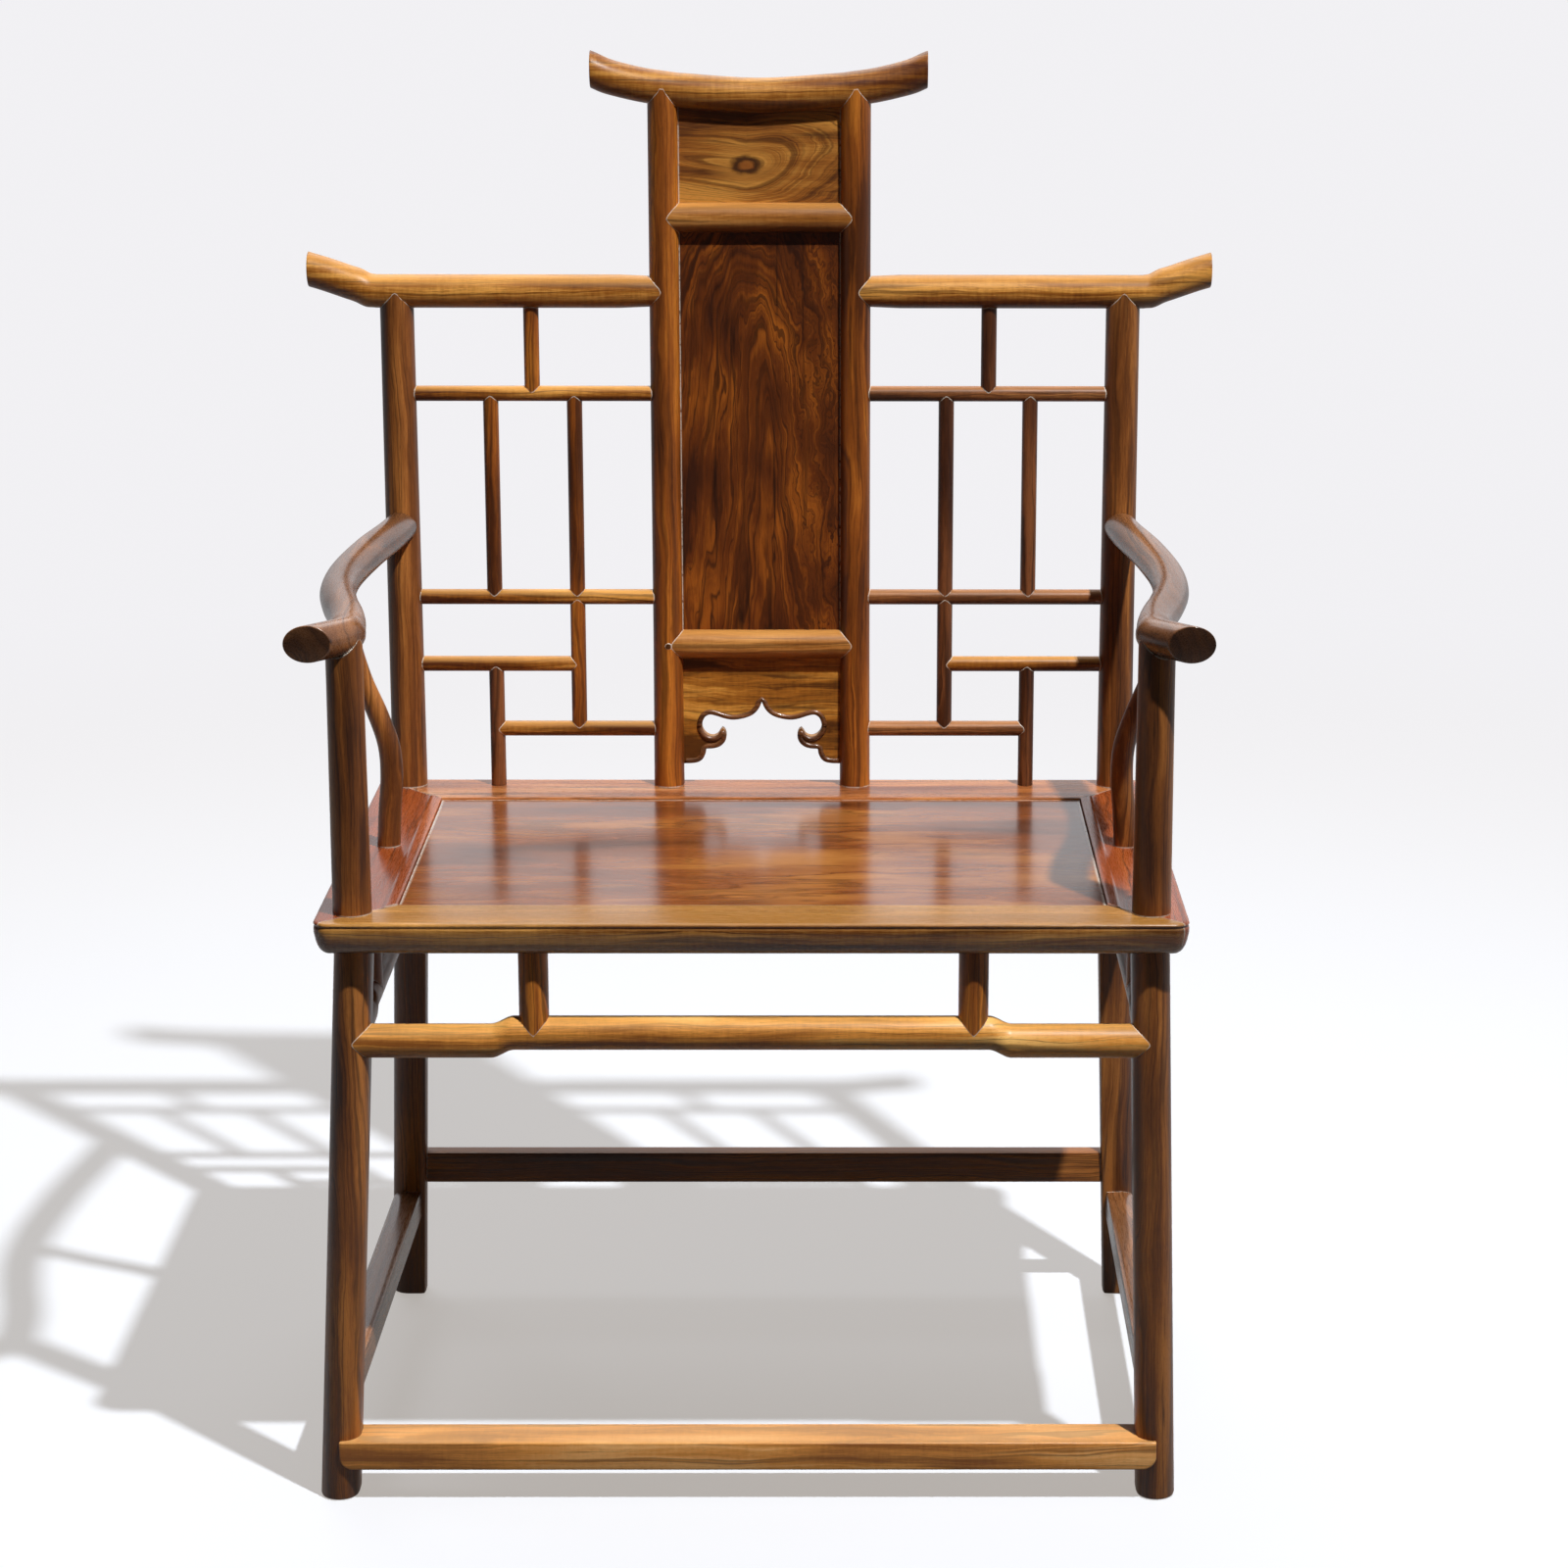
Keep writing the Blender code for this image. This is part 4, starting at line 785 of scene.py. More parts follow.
    def knot_eye(self, graph: WoodGraph) -> list[Layer]:
        """Lists the eye of a knot: a warm glow, a red-brown heart and a dark uneven rim around it."""
        flat = graph.add("Mapping", {"Vector": graph.place, "Scale": self.KNOT_FLAT})
        reach = graph.add("VectorMath", {0: flat}, "Value", operation="LENGTH")
        spots = graph.spots(graph.place, self.KNOT_GRAIN_MM, 2)
        uneven = graph.added([(spots, self.EYE_UNEVEN)], -self.EYE_UNEVEN / 2)
        reach = graph.added([(reach, 1.0)], uneven)
        rim = graph.add("MapRange", ranged(reach, self.RIM_INSIDE), **SOFT)
        return [
            Layer(self.pale, reach, self.EYE_GLOW, (self.GLOW_MOST, 0.0)),
            Layer(self.HEART, reach, self.EYE_HEART, (self.HEART_MOST, 0.0)),
            Layer(self.streak, reach, self.RIM_OUTSIDE, (self.RIM_MOST, 0.0), rim),
        ]

    def shading_and_patina(self, graph: WoodGraph) -> list[Layer]:
        """Lists a painted highlight on top and painted shade below, then dark end grain and dust in the
        joints.
        """
        normal = graph.add("NewGeometry", {}, "Normal")
        rise = graph.add("SeparateXYZ", {"Vector": normal}, "Z")
        ends = graph.add("Attribute", {}, "Fac", attribute_name="dust")
        settled = graph.add("Math", {0: ends, 1: 0.0}, operation="MAXIMUM")
        broken = graph.spots(graph.place, self.DUST_MM, 2)
        return [
            # A painted highlight on what faces up, then painted shade under what faces down.
            Layer(self.pale, rise, self.WORN_SPAN, (0.0, self.top_highlight)),
            Layer(self.streak, rise, self.GRIME_SPAN, (0.0, self.under_shade)),
            Layer(self.streak, ends, (-1.0, 0.0), (self.END_MOST, 0.0), even=True),
            Layer(self.DUST, broken, self.DUST_SPAN, (0.0, self.DUST_MOST), settled),
        ]

    @staticmethod
    def log_place(tree: bpy.types.NodeTree, grain: Grain, centre: Vector) -> Socket:
        """Gives each point its place in the log.

        Args:
            tree: The piece's node tree.
            grain: How the piece was cut.
            centre: The middle of its pattern.

        Returns:
            The place: along the grain, across the face, into the face.
        """
        point = add_node(tree, "TexCoord", out="Object")
        centred = add_node(tree, "Mapping", {"Vector": point, "Location": -centre})
        parts = add_node(tree, "SeparateXYZ", {"Vector": centred}).node.outputs
        return add_node(tree, "CombineXYZ", {key: parts[axis] for key, axis in zip("XYZ", grain.value)})

    def figure_reach(self, graph: WoodGraph) -> Socket:
        """Adds the distance from the heart of the log, whose steps are the growth rings.

        Args:
            graph: The piece's nodes.

        Returns:
            The distance in metres, wandering as the tree grew.
        """
        along, across, into = graph.split()
        signs = ("MAXIMUM", "MINIMUM")
        ahead, behind = (graph.add("Math", {0: along, 1: 0.0}, operation=sign) for sign in signs)
        warp = self.warp_mm * MM
        wander, tremble = graph.grained(*self.WANDER_MM), graph.grained(*self.TREMBLE_MM)
        parts = [(wander, warp * self.WANDER), (tremble, warp * self.TREMBLE)]
        drift = graph.added(parts, -warp * self.WANDER / 2)
        if self.figure is Figure.KNOT:
            # The rings round a knot are drawn out along the grain, to the right more than to the left,
            # and sag on both sides of it.
            apart = graph.add("Math", {0: along}, operation="ABSOLUTE")
            x = graph.added([(ahead, self.KNOT_AHEAD), (behind, self.KNOT_BEHIND)])
            y = graph.added([(apart, self.KNOT_SAG)], across)
            z = graph.added([(into, self.KNOT_DEPTH)])
        elif self.figure is Figure.ARCHED:
            # The rings close to a pointed arch above the centre, run straight below it and swirl beside it.
            leaning = graph.added([(along, self.ARCH_LEAN)], across)
            right = graph.add("Math", {0: leaning, 1: 0.0}, operation="MAXIMUM")
            swirl = graph.added([(right, graph.grained(*self.SWIRL_MM, 3))])
            x = graph.added([(ahead, self.ARCH_AHEAD)])
            y = graph.added([(swirl, self.ARCH_SWIRL)], leaning)
            z = graph.added([(into, self.ARCH_DEPTH)])
            drift = graph.added([(behind, self.ARCH_BEHIND)], drift)
        else:
            x = graph.added([(along, self.TAPER)])
            y, z = (graph.added([(place, 1.0)], off) for place, off in zip((across, into), self.FROM_HEART))
        spread = graph.add("CombineXYZ", {"X": x, "Y": y, "Z": z})
        reach = graph.add("VectorMath", {0: spread}, "Value", operation="LENGTH")
        if self.figure is Figure.KNOT:
            calm = graph.add("MapRange", ranged(reach, (0.0, self.KNOT_CALM)), **SOFT)
            drift = graph.added([(drift, calm)])
        return graph.added([(reach, 1.0)], drift)

    @staticmethod
    def contours(graph: WoodGraph, reach: Socket, spacing_mm: float, length: float, detail: float) -> Socket:
        """Adds uneven bands that follow the growth rings and fade in and out along the grain.

        Args:
            graph: The piece's nodes.
            reach: Distance from the heart of the log.
            spacing_mm: Typical width of a band.
            length: Typical length of a band, in metres.
            detail: Octaves of finer bands.

        Returns:
            Their value, around 0.5.
        """
        vector = graph.add("CombineXYZ", {"X": reach, "Y": graph.split()[0]})
        return graph.spots(vector, (spacing_mm, length / MM, 1 / MM), detail)


# Every finish is rosewood, planed, scraped and waxed by hand. The wax gives a soft gloss rather than a
# mirror, and the oily wood under it a warm ground with fine, nearly black lines along the grain.
# Golden sapwood side: honey to orange-brown, with a faint ripple across the grain that catches the light,
# and a strong painted highlight on top.
GOLDEN = Rosewood("golden", "golden", "#E4A24C", "#A0601E", "#5A2B0E", "#241006", ripple=0.4, top_highlight=0.6)
# The same wood with no painted highlight on top.
CREST = Rosewood(
    "crest", "golden", "#D89846", "#9C5E20", "#5A2C10", "#241006", ripple=0.5, contrast=0.8, top_highlight=0.0
)
# Honey wood of the cross rails, with a strong painted highlight on top.
HONEY = Rosewood(
    "honey", "honey", "#D8984E", "#A26426", "#623412", "#281108", ripple=0.3, contrast=0.8, top_highlight=0.6
)
# Wild-grained honey wood of the apron: broad dark streaks that bend.
MARBLED = Rosewood(
    "marbled", "honey", "#E4A448", "#AC6C24", "#5C3410", "#28130A",
    ring_mm=11.0, warp_mm=14.0, streaks=0.6, ripple=0.25,
)
# Amber wood of the humpback stretchers, the brightest in the chair: its tone is lifted as painted light,
# with less painted shade underneath.
AMBER = Rosewood(
    "amber", "golden", "#FFC874", "#EC9E46", "#9C5C24", "#40200C", ripple=0.3, contrast=0.8, under_shade=0.2
)
# Foot rest: paler still, its tone lifted as painted light, with less painted shade underneath.
TAWNY = Rosewood(
    "tawny", "golden", "#FFC47E", "#E09648", "#985C28", "#40200E", ripple=0.3, contrast=0.7, under_shade=0.2
)
# Reddish heartwood of the posts, with long soft bands.
RUSSET = Rosewood("russet", "red", "#D4822E", "#9A541C", "#542A0E", "#200E06", contrast=0.75)
# Dark brown heartwood of the legs.
UMBER = Rosewood("umber", "brown", "#BC783A", "#804A20", "#442412", "#1C0E08", contrast=0.75)
# The darkest heartwood, nearly plain: upright bars. On the right-hand uprights its darkness is painted shade.
COCOA = Rosewood("cocoa", "brown", "#8C5430", "#5A321A", "#34190E", "#160A06", contrast=0.7)
# Brown wood with a strong, rosy painted highlight on top: level bars on the right.
TANNED = Rosewood(
    "tanned", "golden", "#C4844C", "#84502A", "#4A2A18", "#1E0E08", ripple=0.3, contrast=0.8, top_highlight=0.6
)
# Arms and low stretchers, rubbed by sleeves and feet: a satin polish that mirrors the room as a pale sheen,
# and a faint painted highlight on top.
SATIN = Rosewood(
    "satin", "brown", "#A87044", "#704424", "#402414", "#1C0F0A",
    roughness=0.28, coat=0.25, gloss=0.5, contrast=0.6, top_highlight=0.2,
)
# Main panel, a show board: pointed arches and swirls of dark red-brown.
FIGURED = Rosewood(
    "figured", "figured", "#A85C1A", "#68320D", "#3C1A08", "#160804",
    ring_mm=6.5, warp_mm=13.0, lines=0.7, streaks=0.5, figure=Figure.ARCHED, contrast=0.65,
    zone_mm=(120.0, 50.0),
)
# Upper panel, cut around a knot: rings flow round a dark eye.
KNOTTY = Rosewood(
    "knotty", "honey", "#D09242", "#A06226", "#603618", "#24130C",
    ring_mm=3.4, warp_mm=6.0, lines=0.5, streaks=0.5, figure=Figure.KNOT, contrast=0.9,
)
# Seat panel, the most polished: clear enough to mirror the back, over soft dark clouds in the wood.
BOARD = Rosewood(
    "board", "golden", "#C4803E", "#915026", "#5C3016", "#241008", ring_mm=24.0, warp_mm=26.0, lines=0.35,
    streaks=0.35, roughness=0.18, coat=0.26, gloss=0.5, contrast=0.55, top_highlight=0.0, zone_mm=(230.0, 62.0),
)
# Front rail: olive-gold with a cross ripple, polished by the sitter's legs, and a painted highlight on top.
OLIVE = Rosewood(
    "olive", "golden", "#D69A4E", "#7C4818", "#482610", "#221009",
    ripple=0.5, roughness=0.24, coat=0.12, gloss=0.45, contrast=0.5, top_highlight=0.5,
)
# Side rails: plain brick-red wood with a satin polish.
CINNABAR = Rosewood(
    "cinnabar", "red", "#BE6632", "#9C4A20", "#6E3218", "#34180C",
    roughness=0.26, gloss=0.5, contrast=0.35, top_highlight=0.0,
)
# Back rail: rosy wood, pale from the sun.
BLUSH = Rosewood(
    "blush", "golden", "#E09A5C", "#C0743C", "#8A4A24", "#442210",
    roughness=0.28, ripple=0.2, gloss=0.4, contrast=0.6, top_highlight=0.0,
)


def link_mesh(name: str, bm: BMesh) -> bpy.types.Object:
    """Puts a mesh in the scene, as an object at the origin.

    Args:
        name: Name of the object and of its mesh.
        bm: The mesh, in place. It is freed.

    Returns:
        The object.
    """
    mesh = bpy.data.meshes.new(name)
    bm.to_mesh(mesh)
    bm.free()
    placed = bpy.data.objects.new(name, mesh)
    bpy.context.scene.collection.objects.link(placed)
    return placed


def middle_of(node: str) -> Vector:
    """Gives the middle of a CAD node."""
    low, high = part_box(node)
    return (Vector(low) + Vector(high)) / 2


def finish_piece(
    node: str, bm: BMesh, wood: Rosewood, grain: Grain, cut: float, centre: Vector | None = None
) -> bpy.types.Object:
    """Makes a visible piece that stands for a CAD node.

    Args:
        node: Name of the node.
        bm: The piece's mesh, in place. It is freed.
        wood: Its finish.
        grain: How the piece was cut.
        cut: Where in the log it comes from.
        centre: Middle of its pattern, or None for the middle of the node.

    Returns:
        The object, riding on the chair's one body.
    """
    piece = link_mesh(f"{node}_wood", bm)
    mesh = piece.data
    mesh.shade_smooth()
    mesh.set_sharp_from_angle(angle=SMOOTH_ANGLE)
    mesh.materials.append(wood.material(node, grain, centre or middle_of(node), cut))
    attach(piece, BODY)
    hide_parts(node)
    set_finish(piece, wood.slot)
    LOG.info("%s: %d faces, %s", piece.name, len(mesh.polygons), wood.name)
    return piece


@dataclass(frozen=True)
class ChairSizes:
    """Sizes that more than one sub-assembly shares.

    Attributes:
        leg_x: How far each leg stands from the middle, at the seat and above it.
        front_y: Where the front legs stand at the seat.
        back_y: Where the back legs and the whole back stand.
        centre_post_top: Height of a point on the axis of both centre posts, near their top.
        front_splay: How far a front foot stands outside and ahead of its leg's head.
        rear_splay: How far a rear foot stands outside and behind its leg's head.
        lean: How far both front feet stand to one side, as in the photographed chair.
        hold: How far below an arm or a wing rail a leg's taper ends.
        panel_y: Middle of the thickness of the back's panels.
        panel_groove: How far they reach into posts and rails.
    """

    seat_width: float = 0.7045
    seat_depth: float = 0.478
    seat_top: float = 0.500
    seat_thickness: float = 0.0275
    seat_middle_y: float = -0.00475
    leg_x: float = 0.323
    front_y: float = -0.20975
    back_y: float = 0.21325
    post_radius: float = 0.0158
    centre_post_x: float = 0.085
    centre_post_radius: float = 0.0133
    wing_height: float = 0.952
    wing_radius: float = 0.0148
    arm_back_height: float = 0.7415
    arm_front_height: float = 0.7280
    arm_radius: float = 0.0150
    foot_radius: float = 0.0160
    leg_radius: float = 0.0156
    centre_post_top: float = 1.1
    front_top_radius: float = 0.0149
    rear_top_radius: float = 0.0150
    front_splay: tuple[float, float] = (0.0175, 0.018)
    rear_splay: tuple[float, float] = (0.015, 0.014)
    lean: float = -0.0055
    gap: float = 0.0003
    hold: float = 0.04
    panel_y: float = 0.2175
    panel_groove: float = 0.004

    @property
    def seat_bottom(self) -> float:
        """Height of the seat frame's underside."""
        return self.seat_top - self.seat_thickness

    @property
    def panel_half(self) -> float:
        """Half the width that the back's panels show between the posts."""
        return self.centre_post_x - self.centre_post_radius

    def panel(self, outline: Outline, thickness: float) -> BMesh:
        """Draws a panel of the back from its outline, across and up."""
        ys = (self.panel_y - thickness / 2, self.panel_y + thickness / 2)
        return draw_out([[Vector((x, y, z)) for x, z in outline] for y in ys], (0.0, 0.0))

    def foot(self, side: int, front: bool) -> Vector:
        """Gives the middle of a foot, on the floor."""
        if front:
            out, ahead = self.front_splay
            return Vector((side * (self.leg_x + out) + self.lean, self.front_y - ahead, 0))
        out, behind = self.rear_splay
        return Vector((side * (self.leg_x + out), self.back_y + behind, 0))

    def leg_trunk(self, side: int, front: bool) -> Trunk:
        """Gives a leg below the seat, as a trunk for the stretchers."""
        head = Vector((side * self.leg_x, self.front_y if front else self.back_y, self.seat_bottom))
        inward = Vector((-side, 1 if front else -1, 0))
        return Trunk(self.foot(side, front), head, self.foot_radius, self.leg_radius, inward)

    def post_trunk(self, side: int, front: bool) -> Trunk:
        """Gives a leg above the seat, as a trunk for arms and bars."""
        y = self.front_y if front else self.back_y
        top = self.arm_front_height if front else self.wing_height
        foot = Vector((side * self.leg_x, y, self.seat_top))
        head = Vector((side * self.leg_x, y, top - self.hold))
        return Trunk(foot, head, self.post_radius, self.front_top_radius if front else self.rear_top_radius)

    def centre_trunk(self, side: int) -> Trunk:
        """Gives a centre post, as a trunk for the rails."""
        x = side * self.centre_post_x
        foot = Vector((x, self.back_y, self.seat_top))
        head = Vector((x, self.back_y, self.centre_post_top))
        return Trunk(foot, head, self.centre_post_radius, self.centre_post_radius)


SIZES = ChairSizes()


@dataclass
class CrestRail:
    """The crest rail, which sweeps up at both ends like the wings of an official's hat.

    Attributes:
        lift_shares: Shares of the lift at shares of half the length.
    """

    height: float = 1.124
    length: float = 0.2960
    lift: float = 0.0224
    radius: float = 0.0150
    lift_shares: Shares = (
        (0.0, 0.0), (0.43, 0.167), (0.563, 0.26), (0.709, 0.407), (0.881, 0.685), (1.0, 1.0),
    )

    def path(self) -> list[Vector]:
        """Draws the rail's axis, from left to right."""
        half = [
            Vector((self.length / 2 * across, SIZES.back_y, self.height + self.lift * lift))
            for across, lift in self.lift_shares
        ]
        return smooth_path([Vector((-p.x, p.y, p.z)) for p in reversed(half[1:])] + half)

    def height_at(self, x: float) -> float:
        """Gives the height of the rail's axis at a place along it."""
        path = self.path()
        for start, end in zip(path, path[1:]):
            if start.x <= x <= end.x:
                return start.lerp(end, (x - start.x) / (end.x - start.x)).z
        return path[-1].z

    def trunk(self, x: float) -> Trunk:
        """Gives the rail near a place, as a trunk for the post under it."""
        reach = self.radius
        ends = [Vector((x + step, SIZES.back_y, self.height_at(x + step))) for step in (-reach, reach)]
        return Trunk(ends[0], ends[1], self.radius, self.radius)

    def build(self) -> BMesh:
        """Draws the rail, cut upright at both ends."""
        return Stick(upright_cuts(self.path(), self.radius), start_ease=RIM, end_ease=RIM).build()

    def dress(self) -> None:
        """Puts the rail in the chair."""
        finish_piece("headrail", self.build(), CREST, Grain.LEVEL, CUTS["crest"])


@dataclass
class WingRails:
    """The two wing rails, level at the back and turned up past the back posts.

    Attributes:
        span: From tip to tip over both rails.
        inner_radius: Half a rail's thickness at the centre post.
        lift_run: The stretch over which it rises.
        taper_run: The stretch over which it grows to its full thickness.
        lift_shares: Shares of the lift at shares of its run.
    """

    span: float = 0.8010
    inner_radius: float = 0.0131
    lift: float = 0.0195
    lift_run: float = 0.060
    taper_run: float = 0.040
    lift_shares: Shares = (
        (0.0, 0.0), (0.12, 0.06), (0.29, 0.28), (0.45, 0.45), (0.74, 0.755), (1.0, 1.0),
    )

    @staticmethod
    def trunk(side: int) -> Trunk:
        """Gives the level part of a rail, as a trunk for the posts and bars under it."""
        start = Vector((side * SIZES.centre_post_x, SIZES.back_y, SIZES.wing_height))
        end = Vector((side * (SIZES.leg_x + SIZES.post_radius), SIZES.back_y, SIZES.wing_height))
        return Trunk(start, end, SIZES.wing_radius, SIZES.wing_radius)

    def build(self, side: int) -> BMesh:
        """Draws one rail."""
        bend_x = self.span / 2 - self.lift_run
        rise = []
        for run, lift in self.lift_shares:
            x = side * (bend_x + self.lift_run * run)
            rise.append(Vector((x, SIZES.back_y, SIZES.wing_height + self.lift * lift)))
        start = Vector((side * SIZES.centre_post_x, SIZES.back_y, SIZES.wing_height))
        full = start + X_AXIS * side * self.taper_run
        path = [start, full, *smooth_path(rise)]
        stations = upright_cuts(path, SIZES.wing_radius)
        stations[0] = Station(start, self.inner_radius, self.inner_radius, ROUND, X_AXIS * side)
        return Stick(stations, start_on=SIZES.centre_trunk(side), end_ease=RIM).build()

    def dress(self) -> None:
        """Puts both rails in the chair."""
        for label, side in SIDES:
            cut = CUTS["wings"] + side
            finish_piece(f"wing_rail_{label}", self.build(side), GOLDEN, Grain.LEVEL, cut)


@dataclass
class CentreBack:
    """Centre posts, cross rails, the two back panels and the peg.

    Attributes:
        tongue_depth: Half the depth of a post at the crest rail, where it is deeper than it is wide.
        tongue_run: The stretch over which it deepens.
        board_steps: Stretches of a panel's upper edge, which follows the crest rail.
        knot: Where the upper panel's knot lies, across and up.
        arch: Where the main panel's arches have their middle.
    """

    crest: CrestRail
    post_foot_radius: float = 0.0138
    lower_cross_height: float = 0.632
    upper_cross_height: float = 1.0172
    cross_radius: float = 0.0131
    panel_thickness: float = 0.008
    tongue_depth: float = 0.0153
    tongue_run: float = 0.045
    board_steps: int = 24
    knot: tuple[float, float] = (-0.0116, 1.0632)
    arch: tuple[float, float] = (0.004, 0.9125)
    peg_radius: float = 0.0036
    peg_offset: float = -0.0008
    peg_ease: float = 0.0016
    peg_back_ease: float = 0.0006

    def post(self, side: int) -> BMesh:
        """Draws a centre post, from the seat frame up to the crest rail."""
        x, y = side * SIZES.centre_post_x, SIZES.back_y
        base = SIZES.seat_top + SIZES.gap / 2
        foot, half, top = self.post_foot_radius, SIZES.centre_post_radius, self.crest.height_at(x)
        levels = (
            (base, foot, foot, 1.0),
            (base + DUST_WIDTH, foot, foot, 0.0),
            (self.lower_cross_height, half, half, 0.0),
            (top - self.tongue_run, half, half, 0.0),
            (top - self.crest.radius, half, self.tongue_depth, 0.0),
            (top, half, self.tongue_depth, 0.0),
        )
        stations = [
            Station(Vector((x, y, z)), wide, deep, ROUND, Z_AXIS, dust) for z, wide, deep, dust in levels
        ]
        return Stick(stations, end_on=self.crest.trunk(x)).build()

    def cross_rail(self, height: float) -> BMesh:
        """Draws a cross rail, coped over both centre posts."""
        start, end = (Vector((side * SIZES.centre_post_x, SIZES.back_y, height)) for side in (-1, 1))
        trunks = [SIZES.centre_trunk(side) for side in (-1, 1)]
        return straight_stick(start, end, self.cross_radius, ROUND, *trunks).build()

    def board(self, low: float, high: float | None) -> BMesh:
        """Draws a back panel.

        Args:
            low: Height of its lower edge, in the rail below.
            high: Height of its upper edge, or None where it follows the crest rail.

        Returns:
            The panel, with dust along the lines where it leaves its grooves.
        """
        visible = SIZES.panel_half
        half = visible + SIZES.panel_groove
        lift = SIZES.panel_groove - self.crest.radius
        across = [half * (1 - 2 * step / self.board_steps) for step in range(self.board_steps + 1)]
        top = [(x, high if high is not None else self.crest.height_at(x) + lift) for x in across]
        bm = SIZES.panel([(-half, low), (half, low), *top], self.panel_thickness)
        settled = bm.verts.layers.float["dust"]
        for side in (-1, 1):
            for inset in (0.0, DUST_WIDTH):
                geometry = [*bm.verts, *bm.edges, *bm.faces]
                place = X_AXIS * side * (visible - inset)
                bmesh.ops.bisect_plane(bm, geom=geometry, plane_co=place, plane_no=X_AXIS)
        for vert in bm.verts:
            vert[settled] = 1.0 if abs(vert.co.x) > visible - DUST_WIDTH / 2 else 0.0
        return bm

    def peg(self) -> BMesh:
        """Draws the peg that pins the lower cross rail in the left post."""
        x = -SIZES.centre_post_x - self.peg_offset
        reach = SIZES.centre_post_radius + SIZES.gap
        centres = [Vector((x, SIZES.back_y + y, self.lower_cross_height)) for y in (-reach, 0, reach)]
        half = self.peg_radius
        stations = [
            Station(place, half, half, SLIM_ROUND, dust=dust) for place, dust in zip(centres, (1.0, 0.0, 0.0))
        ]
        return Stick(stations, start_ease=self.peg_ease, end_ease=self.peg_back_ease).build()

    def dress(self) -> None:
        """Puts the centre of the back in the chair."""
        for label, side in SIDES:
            cut = CUTS["centre_posts"] + side
            finish_piece(f"centre_post_{label}", self.post(side), RUSSET, Grain.UPRIGHT, cut)
        heights = (("upper", self.upper_cross_height), ("lower", self.lower_cross_height))
        for cut, (word, height) in zip(count(CUTS["cross_rails"]), heights):
            finish_piece(f"{word}_cross_rail", self.cross_rail(height), HONEY, Grain.LEVEL, cut)
        knot, arch = (Vector((x, SIZES.panel_y, z)) for x, z in (self.knot, self.arch))
        tuck = self.cross_radius - SIZES.panel_groove
        upper = self.board(self.upper_cross_height + tuck, None)
        finish_piece("upper_panel", upper, KNOTTY, Grain.LEVEL, CUTS["upper_panel"], knot)
        main = self.board(self.lower_cross_height + tuck, self.upper_cross_height - tuck)
        finish_piece("main_panel", main, FIGURED, Grain.UPRIGHT, CUTS["main_panel"], arch)
        finish_piece("centre_post_peg", self.peg(), UMBER, Grain.DEEP, CUTS["peg"])


